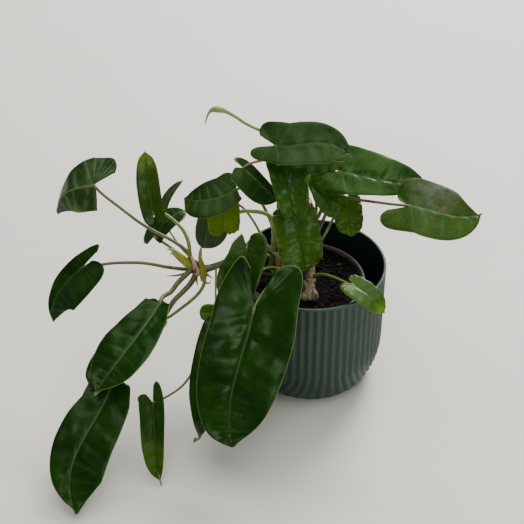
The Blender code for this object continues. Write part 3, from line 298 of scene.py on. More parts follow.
# Streaked skins: two mingled colours, one of darker patches, roughness and depth of grain in millimetres
SKINS = dict(
    new=((0.19, 0.32, 0.05), (0.26, 0.4, 0.085), (0.16, 0.24, 0.05), 0.42, 0.1),
    green=((0.105, 0.175, 0.02), (0.165, 0.245, 0.036), (0.12, 0.12, 0.035), 0.42, 0.08),
    olive=((0.095, 0.098, 0.022), (0.135, 0.14, 0.034), (0.07, 0.046, 0.016), 0.42, 0.08),
    cream=((0.27, 0.33, 0.085), (0.37, 0.42, 0.15), (0.2, 0.2, 0.06), 0.45, 0.08),
    pink=((0.26, 0.16, 0.075), (0.22, 0.22, 0.07), (0.28, 0.12, 0.07), 0.45, 0.08),
    stem=((0.07, 0.078, 0.03), (0.15, 0.145, 0.07), (0.045, 0.036, 0.022), 0.55, 0.25),
    bark=((0.32, 0.25, 0.16), (0.52, 0.45, 0.33), (0.075, 0.048, 0.03), 0.8, 0.7),
    husk=((0.34, 0.24, 0.11), (0.48, 0.37, 0.2), (0.18, 0.1, 0.045), 0.65, 0.2),
    claw=((0.155, 0.225, 0.045), (0.25, 0.3, 0.085), (0.22, 0.13, 0.06), 0.45, 0.12),
    claw_bright=((0.2, 0.24, 0.008), (0.33, 0.36, 0.03), (0.18, 0.13, 0.03), 0.42, 0.12),
    husk_brown=((0.3, 0.13, 0.06), (0.42, 0.22, 0.11), (0.16, 0.06, 0.028), 0.6, 0.2),
    husk_pink=((0.5, 0.27, 0.17), (0.68, 0.5, 0.38), (0.26, 0.09, 0.04), 0.6, 0.2),
    knob=((0.03, 0.036, 0.03), (0.06, 0.066, 0.05), (0.02, 0.02, 0.018), 0.6, 0.2),
    root=((0.2, 0.13, 0.075), (0.32, 0.24, 0.15), (0.1, 0.06, 0.035), 0.75, 0.2),
)
LEAF_GLOSS = 0.27
LEAF_TINT = (0.66, 1, 0.5)  # of a leaf's reflections

# Lights: place, size across in metres, power and tint; all point at the same spot
LIGHTS = dict(
    window=((0.7, 1.7, 1.7), 1.2, 72, (1, 0.99, 0.97)),
    overhead=((0.2, 0.1, 2.6), 3.2, 46, (1, 0.98, 0.94)),
    front=((-0.45, -1.95, 1.75), 0.8, 8.5, (1, 1, 0.98)),
    low=((1.3, -1.4, 0.85), 0.7, 5.5, (1, 0.99, 0.97)),
)
LIGHT_TARGET = (0, 0, 0.1)
CAMERA_PLACE = (-0.0471, -1.0407, 0.9389)
CAMERA_TILT = 52.1
CAMERA_LENS = 96.2


def unit(v):
    return v / np.linalg.norm(v)


def smooth_at(points, u):
    """Value at u, from 0 to 1, on a smooth curve through rows of numbers."""
    p = np.asarray(points, float)
    x = min(max(u, 0), 1) * (len(p) - 1)
    p = np.vstack((2 * p[0] - p[1], p, 2 * p[-1] - p[-2]))
    i = min(int(x), len(p) - 4)
    f = x - i
    a, b, c, d = p[i:i + 4]
    bow, turn = 2 * a - 5 * b + 4 * c - d, 3 * b - a - 3 * c + d
    return 0.5 * (2 * b + (c - a) * f + bow * f * f + turn * f ** 3)


def run_along(places):
    """Distance run at each point of a path."""
    return np.concatenate(([0], np.linalg.norm(np.diff(places, axis=0), axis=1).cumsum()))


def smooth_path(points, spacing):
    """Points about spacing apart on a smooth curve through points, with their extra values."""
    fine = np.array([smooth_at(points, u) for u in np.linspace(0, 1, 20 * len(points))])
    run = run_along(fine[:, :3])
    wanted = np.linspace(0, run[-1], max(4, int(round(run[-1] / spacing)) + 1))
    return np.stack([np.interp(wanted, run, values) for values in fine.T], 1)


def stem_rows(points, spacing=0.8):
    """Rows of x, y, z and radius in metres, from points and a spacing in millimetres."""
    return smooth_path(np.array(points) * MM, spacing * MM)


def ease(x, low, high):
    """Smooth step from 0 at low to 1 at high."""
    t = np.clip((x - low) / (high - low), 0, 1)
    return t * t * (3 - 2 * t)


def rough(places, size, seed):
    """Smooth noise from -1 to 1 at each place, with features about size across."""
    return np.array([noise.noise(Vector(p) / size + Vector((seed, 2 * seed, 3 * seed))) for p in places])


def quads(rows, wide, closed=False, first=0):
    """Faces of a grid of points that starts at point first; closed joins the ends of each row."""
    return [(a + k, a + (k + 1) % wide, a + wide + (k + 1) % wide, a + wide + k)
            for a in range(first, first + (rows - 1) * wide, wide)
            for k in range(wide if closed else wide - 1)]


class Blade:
    """The form of one leaf blade: a midrib curve, with side veins running out to a lobed margin."""

    def __init__(self, base, tip, widths, form, *route):
        for key, value in {**LEAF_DEFAULTS, **form}.items():
            setattr(self, key, (value, value) if key in PAIRED and not isinstance(value, tuple) else value)
        self.base, self.tip = np.array((base, tip)) * MM
        self.widths, self.route = widths, route
        self.length = np.linalg.norm(self.tip - self.base)
        self.along = unit(self.tip - self.base)
        level = unit(np.cross(self.along, UP))
        top = np.cross(level, self.along)
        roll = radians(self.roll)
        self.side = level * cos(roll) - top * sin(roll)
        self.top = top * cos(roll) + level * sin(roll)

    def midrib(self, share):
        """Place, direction, side and top on the midrib, a Bezier curve, at a share of its length."""
        third = self.along * self.length / 3
        a, d = self.base, self.tip
        b = a + third + (self.top * self.arch[0] + self.side * self.bend[0]) * self.length
        c = d - third + (self.top * self.arch[1] + self.side * self.bend[1]) * self.length
        rest = 1 - share
        place = rest ** 3 * a + 3 * rest ** 2 * share * b + 3 * rest * share ** 2 * c + share ** 3 * d
        ahead = unit(rest ** 2 * (b - a) + 2 * rest * share * (c - b) + share ** 2 * (d - c))
        side = unit(self.side - ahead * np.dot(self.side, ahead))
        return place, ahead, side, np.cross(side, ahead)

    def outline(self, half, u):
        """Metres ahead of the stalk and out from the midrib at u round one half's margin."""
        ahead, slim, full = smooth_at(OUTLINE, u)
        out = slim * (1 - self.blunt[half]) + full * self.blunt[half]
        if ahead > 1:
            ahead = 1 + (ahead - 1) * self.drip
        out *= 1 + self.taper[half] * (0.4 - max(ahead, 0))
        if ahead > 0:
            out = max(out, TIP_OPENING * (1 - ahead))
        width = self.widths[half] * MM * out
        if ahead >= 0:
            return ahead * self.length, width
        width *= 1 - self.wedge[half] * ahead * ahead
        spread = radians(self.spread[half] * -ahead)
        back = ahead * self.lobe[half] * self.length
        return back * cos(spread) + width * sin(spread), width * cos(spread) - back * sin(spread)

    def across(self, width, count):
        """Shares from midrib to margin, closer together near both."""
        width = max(abs(width) / MM, 0.01)
        rib, edge = min(1 / width, 0.06), min(1 / width, 0.05)
        middle = np.linspace(3 * rib, 1 - 1.6 * edge, count)
        return np.concatenate(([0, 0.5 * rib, rib, 1.8 * rib], middle, [1 - 0.8 * edge, 1 - 0.35 * edge, 1]))

    def row(self, half, u, count):
        """Places on one vein line from midrib to margin, and the marks that lie there."""
        run, width = self.outline(half, u)
        share = run / self.length
        start = min(1, max(0, share - VEIN_LEAD * (1 - share)))
        place, ahead, side, top = self.midrib(start)
        fold = radians(self.fold[half])
        hand = 1 if half else -1
        v = self.across(width, count)
        lift = top * cos(fold) - side * hand * sin(fold)
        out = side * hand * cos(fold) + top * sin(fold)
        turn = tau * min(1, u * WAVE_SPAN)
        wave = self.wave * MM * v * v * sin(turn * WAVES + (1 - hand))
        wave += self.ruffle * MM * v ** 3 * sin(turn * RUFFLES + hand)
        beyond = max(0, run - self.length)
        places = (place + ahead * (run - start * self.length) * v[:, None] + side * self.hook * beyond
                  + out * width * v[:, None] + top * wave[:, None])
        away = np.linalg.norm(places - place, axis=1)
        phase = u * self.veins + 0.3 * half
        gap = abs(phase - round(phase))
        inner = ease(v, 0.02, 0.14) * (1 - 0.65 * ease(v, 0.25, 0.6)) * (1 - ease(v, 0.72, 0.98))
        if start == 0:
            inner = inner * ease(away, 0.1 * self.length, 0.45 * self.length)
        swell = sin(pi * gap) ** 0.8 - 0.5 + 0.22 * sin(tau * 2 * phase)
        size = min(1, self.length / (70 * MM))
        rib_width = (0.5 + 0.85 * size) * MM * (1 - 0.75 * max(0, share))
        heights = (QUILT * self.quilt * self.length / self.veins * swell * inner
                   - RIB_TROUGH * size * self.trough * np.exp(-(away / (2 * rib_width)) ** 2)
                   - MARGIN_ROLL * ease(v, 0.9, 1))
        vein = max(0, 1 - gap / VEIN_WIDTH) * (1 - ease(v, 0.55, 0.97)) * ease(v, 0, 0.06)
        # Grey streaks along the side veins: a grey tone with painted sheen.
        streak = 0.12 + 0.88 * exp(-(gap / 0.15) ** 2) * (1 - 0.5 * v)
        marks = {"rib": np.exp(-(away / rib_width) ** 2) * self.rib, "vein": vein * self.vein,
                 "edge": np.exp(-((1 - v) * abs(width) / MARGIN_WIDTH) ** 2) * self.edge,
                 "ash": streak * self.ash, "fresh": np.full(len(v), self.fresh)}
        return places, lift, heights, away, marks


def opaque(value):
    """A colour with its alpha, or any other value as it is."""
    return (*value, 1) if isinstance(value, tuple) else value


def node(tree, kind, inputs=None, **settings):
    """A shader node with its settings, and inputs given as values or sockets."""
    made = tree.nodes.new(kind)
    for key, value in settings.items():
        setattr(made, key, value)
    for key, value in (inputs or {}).items():
        if isinstance(value, bpy.types.NodeSocket):
            tree.links.new(value, made.inputs[key])
        else:
            made.inputs[key].default_value = opaque(value)
    return made


def attribute(tree, name):
    return node(tree, "ShaderNodeAttribute", attribute_name=name).outputs["Fac"]


def between(tree, value, low, high, start=0, end=1):
    """value brought from low..high to start..end, and held there outside."""
    return node(tree, "ShaderNodeMapRange", {0: value, 1: low, 2: high, 3: start, 4: end}).outputs[0]


def mixed(tree, share, first, second, blend="MIX"):
    made = node(tree, "ShaderNodeMix", {0: share, 6: first, 7: second}, data_type="RGBA", blend_type=blend)
    return made.outputs[2]


def worked(tree, first, second, kind="MULTIPLY"):
    return node(tree, "ShaderNodeMath", {0: first, 1: second}, operation=kind).outputs[0]


def marked(tree, base, mark, tint, share=1):
    """base with a tint where the mark lies; share may thin the mark."""
    strength = attribute(tree, mark)
    if share != 1:
        strength = worked(tree, strength, share)
    return mixed(tree, strength, base, tint)


def speckle(tree, scale, detail=3, place=None, roughness=0.5):
    """Noise from 0 to 1, scale features to the metre."""
    place = place or node(tree, "ShaderNodeTexCoord").outputs["Object"]
    inputs = {"Vector": place, "Scale": scale, "Detail": detail, "Roughness": roughness}
    return node(tree, "ShaderNodeTexNoise", inputs).outputs["Fac"]


def patchy(tree, scale, low=0.3, high=0.7, start=0, end=1, detail=3):
    """Noise stretched from low..high to start..end."""
    return between(tree, speckle(tree, scale, detail), low, high, start, end)


def surface(name, build, *values):
    """A Principled material. build(tree, *values) gives its base colour, its roughness as noise
    (scale, least, most, detail), its grain's height, the depth in millimetres, and other inputs."""
    made = bpy.data.materials.new(name)
    made.use_nodes = True
    tree = made.node_tree
    shader = tree.nodes["Principled BSDF"]
    base, (scale, least, most, detail), height, depth, others = build(tree, *values)
    tree.links.new(base, shader.inputs["Base Color"])
    tree.links.new(patchy(tree, scale, start=least, end=most, detail=detail), shader.inputs["Roughness"])
    bump = node(tree, "ShaderNodeBump", {"Height": height, "Strength": 1, "Distance": depth * MM})
    tree.links.new(bump.outputs["Normal"], shader.inputs["Normal"])
    for key, value in others.items():
        shader.inputs[key].default_value = opaque(value)
    return made


def leaf_top(tree, deep, light, sheen, gloss=LEAF_GLOSS):
    """Upper side of a leaf: mottled green with paler veins, midrib and margin, grey streaks along the veins
    that are a grey tone with painted sheen, and a soft gloss.
    """
    broad = patchy(tree, 38, 0.32, 0.7)
    fresh = mixed(tree, broad, (0.11, 0.205, 0.007), (0.19, 0.3, 0.017))
    base = marked(tree, mixed(tree, broad, deep, light), "fresh", fresh)
    # Pale grey in streaks along the veins: a grey tone with painted sheen.
    base = marked(tree, base, "ash", (0.11, 0.135, 0.09), patchy(tree, 110, 0.3, 0.62, detail=4))
    fine = patchy(tree, 420, start=0.84, end=1.16, detail=2)
    grain = node(tree, "ShaderNodeCombineColor", {0: fine, 1: fine, 2: fine}).outputs[0]
    base = marked(tree, mixed(tree, 1, base, grain, "MULTIPLY"), "vein", (0.075, 0.135, 0.035))
    base = marked(tree, base, "scar", (0.125, 0.108, 0.06), patchy(tree, 95, 0.52, 0.6, detail=4))
    base = marked(tree, base, "rib", (0.105, 0.18, 0.075))
    base = marked(tree, base, "edge", (0.28, 0.34, 0.11))
    bumps = worked(tree, speckle(tree, 220), 2)
    height = worked(tree, speckle(tree, 900, 2), bumps, "ADD")
    return base, (60, sheen - 0.04, sheen + 0.06, 2), height, 0.1, {
        "IOR": 1.45, "Coat Weight": 0.35 * gloss, "Coat Roughness": 0.2,
        "Specular IOR Level": gloss, "Specular Tint": LEAF_TINT}


def leaf_under(tree, pale, veins):
    """Under side of a leaf: paler and duller, with raised veins."""
    base = mixed(tree, patchy(tree, 45), pale, tuple(0.8 * c for c in pale))
    base = marked(tree, marked(tree, base, "vein", veins, 0.5), "rib", veins)
    return base, (70, 0.5, 0.62, 2), speckle(tree, 700), 0.1, {"IOR": 1.45}


def plain_skin(tree, first, second, scale, roughness, depth, grain):
    """A skin of two mingled colours with a fine grain."""
    base = mixed(tree, patchy(tree, scale, 0.35, 0.65), first, second)
    return base, (scale * 2, roughness - 0.05, roughness + 0.06, 3), speckle(tree, grain), depth, {}


def streaked(tree, first, second, rings, roughness, depth):
    """A skin with streaks that run along a stem or sheath, and darker patches on it."""
    inputs = {0: worked(tree, attribute(tree, "turn"), 14), 1: worked(tree, attribute(tree, "along"), 90)}
    place = node(tree, "ShaderNodeCombineXYZ", inputs).outputs[0]
    streak = speckle(tree, 1, 4, place, 0.6)
    base = mixed(tree, between(tree, streak, 0.35, 0.65), first, second)
    base = mixed(tree, patchy(tree, 130, 0.5, 0.72, detail=4), base, rings)
    return base, (200, roughness - 0.06, roughness + 0.08, 2), streak, depth, {}


def dark_soil(tree):
    base = mixed(tree, patchy(tree, 260, 0.4, 0.66, detail=5),
                 (0.0012, 0.001, 0.0009), (0.0055, 0.0038, 0.0032))
    base = mixed(tree, patchy(tree, 620, 0.62, 0.74), base, (0.018, 0.011, 0.01))
    return base, (150, 0.82, 1, 3), speckle(tree, 900, 5), 0.6, {"Specular IOR Level": 0.1}


def bark_chips(tree):
    """Bark chips and crumbs, each with a colour of its own."""
    pick = attribute(tree, "pick")
    base = mixed(tree, between(tree, pick, 0, 0.7), (0.0018, 0.0014, 0.0012), (0.0075, 0.005, 0.0042))
    base = mixed(tree, between(tree, pick, 0.8, 1), base, (0.034, 0.021, 0.021))
    return base, (300, 0.75, 0.95, 3), speckle(tree, 1100, 4), 0.3, {"Specular IOR Level": 0.12}


def pot_plastic(tree):
    """Moulded plastic with a fine grain, a faint bloom of dust, and painted shade in the rib grooves and on
    the inner wall.
    """
    base = mixed(tree, patchy(tree, 24, detail=4), (0.018, 0.049, 0.035), (0.024, 0.057, 0.042))
    dust = patchy(tree, 500, 0.62, 0.8, end=0.35, detail=2)
    base = mixed(tree, dust, base, (0.05, 0.08, 0.063))
    # Painted shade in the grooves between the ribs, as strong as the groove is deep.
    base = marked(tree, base, "groove", (0.008, 0.021, 0.015), 0.75)
    # Painted shade on the inner wall and the inner side of the rim.
    base = marked(tree, base, "inside", (0.004, 0.02, 0.019))
    return base, (90, 0.48, 0.58, 3), speckle(tree, 1500, 2), 0.05, {"IOR": 1.46}


def make_looks():
    """Every material of the plant and its pots."""
    margin = surface("leaf_margin", plain_skin, (0.2, 0.26, 0.075), (0.12, 0.19, 0.045), 90, 0.5, 0.05, 500)
    bright = surface("leaf_margin_bright", plain_skin,
                     (0.36, 0.45, 0.12), (0.26, 0.38, 0.08), 90, 0.5, 0.05, 500)
    under = surface("leaf_underside", leaf_under, (0.085, 0.135, 0.055), (0.17, 0.22, 0.085))
    young = surface("leaf_young_underside", leaf_under, (0.2, 0.32, 0.055), (0.3, 0.42, 0.11))
    looks = {key: [surface("leaf_" + key, leaf_top, *values), under, margin]
             for key, values in LEAF_TOPS.items()}
    looks["young"][1:] = young, bright
    looks.update({key: [surface(key + "_skin", streaked, *values)] for key, values in SKINS.items()})
    looks["pot"] = [surface("outer_pot_moulded", pot_plastic)]
    looks["nursery"] = [surface("nursery_plastic", plain_skin,
                                (0.125, 0.11, 0.075), (0.095, 0.082, 0.055), 60, 0.58, 0.06, 900)]
    looks["soil"] = [surface("potting_soil_dark", dark_soil)]
    looks["chips"] = [surface("bark_bits", bark_chips)]
    return looks


def linked(name, data):
    obj = bpy.data.objects.new(name, data)
    bpy.context.scene.collection.objects.link(obj)
    return obj


def piece_from(name, verts, faces, looks, replaced, slot, marks=None, smooth=True, sharp=None):
    """A piece from points and faces, with doubled points joined and numbers kept at its points."""
    mesh = bpy.data.meshes.new(name)
    mesh.from_pydata([tuple(map(float, v)) for v in verts], [], faces)
    for key, values in (marks or {}).items():
        mesh.attributes.new(key, "FLOAT", "POINT").data.foreach_set("value", np.asarray(values, np.float32))
    bm = bmesh.new()
    bm.from_mesh(mesh)
    bmesh.ops.remove_doubles(bm, verts=bm.verts, dist=0.0005 * MM)
    bm.to_mesh(mesh)
    bm.free()
    if smooth:
        mesh.shade_smooth()
    if sharp:
        mesh.set_sharp_from_angle(angle=radians(sharp))
    for look in looks:
        mesh.materials.append(look)
    obj = linked(name, mesh)
    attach(obj, "root")
    if replaced:
        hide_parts(replaced)
    return obj


def thicken(obj, thickness=LEAF_THICKNESS, offset=0, materials=(1, 2)):
    """Give a sheet its thickness, and its far side and rim the materials so many places on."""
    bpy.context.view_layer.update()
    made = obj.modifiers.new("Thickness", "SOLIDIFY")
    made.thickness = thickness
    made.offset = offset
    made.material_offset, made.material_offset_rim = materials
    evaluated = obj.evaluated_get(bpy.context.evaluated_depsgraph_get())
    mesh = bpy.data.meshes.new_from_object(evaluated)
    obj.modifiers.clear()
    obj.data = mesh
    mesh.shade_smooth()


def make_blade(name, blade, looks):
    big = min(1, max(0.35, blade.length / (95 * MM)))
    rows = int((128) * big) + 1
    count = int((22) * big)
    bands = [blade.row(half, u, count) for half in (1, 0) for u in np.linspace(0, 1, rows)]
    wide = len(bands[0][0])
    verts, heights, off_rib = (np.concatenate([band[i] for band in bands]) for i in (0, 2, 3))
    lifts = np.repeat([band[1] for band in bands], wide, axis=0)
    marks = {key: np.concatenate([band[4][key] for band in bands]) for key in bands[0][4]}
    faces = quads(rows, wide) + [face[::-1] for face in quads(rows, wide, first=rows * wide)]
    seed = sum(map(ord, "leaf_" + name)) % 97
    size = min(1, blade.length / (90 * MM))
    drift = (rough(verts, 24 * MM, seed) + 0.5 * rough(verts, 11 * MM, seed + 5)) * UNDULATION * size
    drift *= ease(off_rib, 0, 9 * MM * size) * blade.drift
    verts = verts + lifts * (heights + drift)[:, None]
    marks["scar"] = np.zeros(len(verts))
    for kind, strength, spot, reach in blade.patches:
        distance = np.linalg.norm(verts - np.array(spot) * MM, axis=1)
        marks[kind] = np.maximum(marks[kind], strength * (1 - ease(distance, 0.2 * reach * MM, reach * MM)))
    obj = piece_from(name + "_blade", verts, faces, looks[blade.look or blade.age], "leaf_" + name,
                     "leaf_" + blade.age, marks)
    thicken(obj)


def carried(rows):
    """Place, direction, two sides that don't twist, and radius at each row of a stem."""
    ways = np.gradient(rows[:, :3], axis=0)
    ways /= np.linalg.norm(ways, axis=1)[:, None]
    side = unit(np.cross(ways[0], FRONT if abs(ways[0][2]) > 0.9 else UP))
    for row, way in zip(rows, ways):
        side = unit(side - way * np.dot(side, way))
        yield row[:3], way, side, np.cross(way, side), row[3]


def sweep(name, rows, sides, looks, replaced, slot, ring=None):
    """A closed tube through rows of x, y, z and radius; ring(run, turns) scales the radius all round."""
    run = run_along(rows[:, :3])
    turns = np.arange(sides) / sides
    stops = list(carried(rows))
    verts = [place + radius * s * (side * cos(tau * t) + other * sin(tau * t))
             for at, (place, _, side, other, radius) in zip(run, stops)
             for t, s in zip(turns, ring(at, turns) if ring else np.ones(sides))]
    marks = {"along": list(np.repeat(run, sides)), "turn": list(np.abs(turns - 0.5)) * len(rows)}
    faces = quads(len(rows), sides, closed=True)
    for end, first, order in ((0, 0, 1), (-1, len(verts) - sides, -1)):
        place, way, _, _, radius = stops[end]
        faces += [(first + (k + 1) % sides, first + k, len(verts))[::order] for k in range(sides)]
        verts.append(place - order * way * radius * 0.5)
        marks["along"].append(run[end])
        marks["turn"].append(0)
    piece_from(name, verts, faces, looks, replaced, slot, marks)


def stalk_rows(blade):
    """Rows of x, y, z and radius from inside the stem to the blade and on under its midrib."""
    route = [np.array(p) * MM for p in blade.route] + [blade.base]
    narrowing = np.linspace(STALK_SPREAD, STALK_NARROW, len(route))
    rows = list(smooth_path([(*p, blade.stalk * MM * s) for p, s in zip(route, narrowing)], 2.2 * MM))
    end = rows[-1][3]
    rows[-1][:3] -= blade.top * end * 0.9
    for share in RIB_SHARES:
        place, _, _, top = blade.midrib(share)
        here = end * 0.75 * (1 - share / RIB_REACH) + 0.25 * MM
        rows.append((*(place - top * (here + 0.4 * MM)), here))
    rows = smooth_path(rows, 2 * MM)
    reach = np.linalg.norm(rows[:, :3] - blade.base, axis=1)
    rows[:, 3] *= 1 + 0.14 * np.exp(-(reach / (5 * MM)) ** 2)
    return rows


def wall_radius(z):
    top = POT_RADIUS - POT_DRAFT * (POT_HEIGHT - z)
    if z >= CORNER_HEIGHT:
        return top
    drop = 1 - max(0, z) / CORNER_HEIGHT
    return BASE_RADIUS + (top - BASE_RADIUS) * sqrt(max(0, 1 - drop * drop))


def make_outer_pot(looks):
    """The outer pot with round ribs, which turn sideways near the base."""
    columns = RIBS * RIB_COLUMNS
    angles = tau * np.arange(columns) / columns
    off = np.abs((np.arange(columns) % RIB_COLUMNS) / RIB_COLUMNS - 0.5) * 2
    groove = (1 - np.cos(pi * off)) / 2
    verts, marks = [], {"groove": [], "inside": []}

    def level(radius, z, depth=0, sweep_share=0, inside=0):
        turned = angles + SWEEP_ANGLE * sweep_share * np.sin(2 * (angles - PARTING))
        r = radius - depth * groove
        verts.extend(zip(r * np.sin(turned), -r * np.cos(turned), np.full(columns, z)))
        # Strength of the painted shade in the grooves, by their depth.
        marks["groove"].extend(groove * depth / RIB_DEPTH)
        # Strength of the painted shade on the inner wall and rim.
        marks["inside"].extend([inside] * columns)

    # The inner wall, all in painted shade.
    for z in (POT_FLOOR, CORNER_HEIGHT * 0.2, CORNER_HEIGHT * 0.5, CORNER_HEIGHT, POT_HEIGHT - 12 * MM):
        level(wall_radius(z) - POT_WALL, z, inside=1)
    rim = np.linspace(0, pi / 2, 5)
    # The inner side of the rim, its painted shade fading out towards the top.
    for a in rim:
        level(POT_RADIUS - POT_WALL + RIM_ROUND * (1 - cos(a)), POT_HEIGHT - RIM_ROUND * (1 - sin(a)),
              inside=cos(a) ** 4)
    for a in rim[::-1]:
        level(POT_RADIUS - RIM_ROUND * (1 - cos(a)), POT_HEIGHT - RIM_ROUND * (1 - sin(a)))
    run_in = POT_HEIGHT - RIM_BAND
    heights = [run_in - share * RIB_RUN_IN for share in (0, 0.35, 0.7, 1)]
    heights += list(np.linspace(run_in - RIB_RUN_IN, CORNER_HEIGHT, 14)[1:])
    heights += [CORNER_HEIGHT * (1 - sin(s)) for s in np.linspace(0, pi / 2, 44)[1:]]
    for z in heights:
        depth = RIB_DEPTH * ease(run_in - z, 0, RIB_RUN_IN)
        if z < FADE_HEIGHT:
            depth *= 0.1 + 0.9 * ease(z, 0, FADE_HEIGHT)
        level(wall_radius(z), z, depth, max(0, 1 - z / SWEEP_HEIGHT) ** 1.5)
    faces = [face[1:] + face[:1] for face in quads(len(verts) // columns, columns, closed=True)]
    faces.append(tuple(range(len(verts) - columns, len(verts))))
    faces.append(tuple(range(columns))[::-1])
    piece_from("ribbed_outer_pot", verts, faces, looks, "outer_pot", "outer_pot_plastic", marks, sharp=50)


def nursery_radius(z):
    return NURSERY_BASE_RADIUS + (NURSERY_TOP_RADIUS - NURSERY_BASE_RADIUS) * z / NURSERY_HEIGHT


def make_nursery_pot(looks):
    """The thin inner pot with a rolled lip, turned from a closed profile of radius and height."""
    top = NURSERY_HEIGHT
    low = top - NURSERY_LIP_HEIGHT
    out = nursery_radius(top) + NURSERY_LIP
    inner = nursery_radius(top) - NURSERY_WALL
    mid, half = (out + inner) / 2, (out - inner) / 2
    profile = [(0, NURSERY_WALL), (NURSERY_BASE_RADIUS - NURSERY_WALL, NURSERY_WALL)]
    profile += [(nursery_radius(z) - NURSERY_WALL, z) for z in (30 * MM, 60 * MM, 90 * MM)]
    profile += [(mid + half * cos(a), top - 0.5 * half + 0.5 * half * sin(a))
                for a in np.linspace(pi, 0, 9)]
    profile += [(out, low + 0.4 * MM), (out - 0.4 * MM, low), (nursery_radius(low), low),
                (NURSERY_BASE_RADIUS, 0), (0, 0)]
    steps = 120
    verts = [(NURSERY_X + r * sin(tau * i / steps), NURSERY_Y - r * cos(tau * i / steps),
              NURSERY_FLOOR + z) for i in range(steps) for r, z in profile]
    faces = [tuple(v % len(verts) for v in face) for face in quads(steps + 1, len(profile))]
    piece_from("thin_nursery_pot", verts, faces, looks, "nursery_pot", "nursery_pot_plastic", sharp=45)


def soil_height(x, y, reach):
    """Height of the lumpy soil at a place; it rises a little towards the wall at reach."""
    off = hypot(x - NURSERY_X, y - NURSERY_Y) / reach
    bump = sum(height * noise.noise(Vector((x, y, layer)) / (size * MM))
               for layer, (height, size) in enumerate(((1.2, 9), (0.8, 3), (0.4, 1.4))))
    return SOIL_TOP + (bump - 0.5 + 2.6 * float(ease(off, 0.8, 0.98))) * MM


def make_soil(looks):
    """A lumpy soil top with a skirt below, and loose bark on it."""
    turns, rings = ((150, 56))
    edge = nursery_radius(SOIL_TOP - NURSERY_FLOOR) - NURSERY_WALL - SOIL_GAP
    foot = NURSERY_BASE_RADIUS - NURSERY_WALL - SOIL_GAP
    ways = [(cos(tau * k / turns), sin(tau * k / turns)) for k in range(turns)]
    verts = [(NURSERY_X + foot * c, NURSERY_Y + foot * s, NURSERY_FLOOR + NURSERY_WALL + SOIL_GAP)
             for c, s in ways]
    for i in range(rings):
        reach = edge * (1 - i / rings)
        for c, s in ways:
            x, y = NURSERY_X + reach * c, NURSERY_Y + reach * s
            verts.append((x, y, soil_height(x, y, edge)))
    last = len(verts)
    verts.append((NURSERY_X, NURSERY_Y, SOIL_TOP))
    faces = quads(rings + 1, turns, closed=True) + [tuple(range(turns))[::-1]]
    faces += [(last - turns + k, last - turns + (k + 1) % turns, last) for k in range(turns)]
    piece_from("potting_soil", verts, faces, looks["soil"], "soil", "soil")
    scatter_bark(edge, looks["chips"])


def scatter_bark(edge, look):
    """Loose bark and crumbs, in one piece, on the soil inside edge."""
    draw = np.random.default_rng(11)
    chunk = bmesh.new()
    bmesh.ops.create_icosphere(chunk, subdivisions=1, radius=1)
    shape = np.array([v.co[:] for v in chunk.verts])
    skins = [tuple(v.index for v in f.verts) for f in chunk.faces]
    chunk.free()
    verts, faces, picks = [], [], []
    for _ in range(900):
        radius, a = edge * 0.97 * sqrt(draw.uniform()), draw.uniform(0, tau)
        size = 0.7 * MM + 2.1 * MM * draw.uniform() ** 3
        scale = size * np.array((draw.uniform(0.8, 1.9), draw.uniform(0.5, 1), draw.uniform(0.25, 0.55)))
        lumps = shape * (1 + draw.uniform(-0.28, 0.28, (len(shape), 1))) * scale
        yaw, tilt = draw.uniform(0, tau), draw.uniform(-0.6, 0.6)
        ahead = lumps[:, 0] * cos(tilt) - lumps[:, 2] * sin(tilt)
        up = lumps[:, 0] * sin(tilt) + lumps[:, 2] * cos(tilt)
        x = ahead * cos(yaw) - lumps[:, 1] * sin(yaw) + NURSERY_X + radius * cos(a)
        y = ahead * sin(yaw) + lumps[:, 1] * cos(yaw) + NURSERY_Y + radius * sin(a)
        z = up + soil_height(x.mean(), y.mean(), edge) + draw.uniform(-0.1, 0.9) * MM
        faces.extend(tuple(len(verts) + i for i in f) for f in skins)
        verts.extend(np.stack((x, y, z), 1))
        picks.extend([draw.uniform()] * len(shape))
    piece_from("soil_bark_bits", verts, faces, look, None, "soil", {"pick": picks}, smooth=False)


def gnarled(rings_apart, depth, seed):
    """Radius scale of an old stem: leaf scars at intervals in millimetres, with lumps between."""
    def ring(run, turns):
        share = run / (rings_apart * MM) % 1
        scar = exp(-(share / 0.16) ** 2) + exp(-((1 - share) / 0.1) ** 2)
        lumps = np.array([noise.noise(Vector((cos(tau * t) * 1.6, sin(tau * t) * 1.6,
                                              run / (5 * MM) + seed))) for t in turns])
        return 1 + depth * scar * 0.6 + depth * lumps
    return ring


def flattened(thin):
    """Radius scale of a flat strap."""
    return lambda _, turns: np.hypot(np.cos(tau * turns), thin * np.sin(tau * turns))


def wrap(name, rows, reach, spin, flare, look):
    """A dry sheath: a thin sheet round part of a stem that narrows to a point."""
    across, shares = np.linspace(-1, 1, 15), np.linspace(0, 1, len(rows))
    verts = []
    for share, (place, _, side, other, radius) in zip(shares, carried(rows)):
        half = reach * (1 - share ** 1.7) ** 0.8
        out = radius * (1.08 + flare * share ** 1.5)
        for t in across:
            a = radians(spin + half * t)
            lift = out * (1 + 0.05 * sin(9 * t + 14 * share) * share)
            verts.append(place + lift * (side * cos(a) + other * sin(a)))
    marks = {"along": np.repeat(shares * 0.03, 15), "turn": np.tile(abs(across), len(rows))}
    obj = piece_from(name, verts, quads(len(rows), 15), look, None, "old_stem_bark", marks)
    thicken(obj, 0.28 * MM, 1, (0, 0))


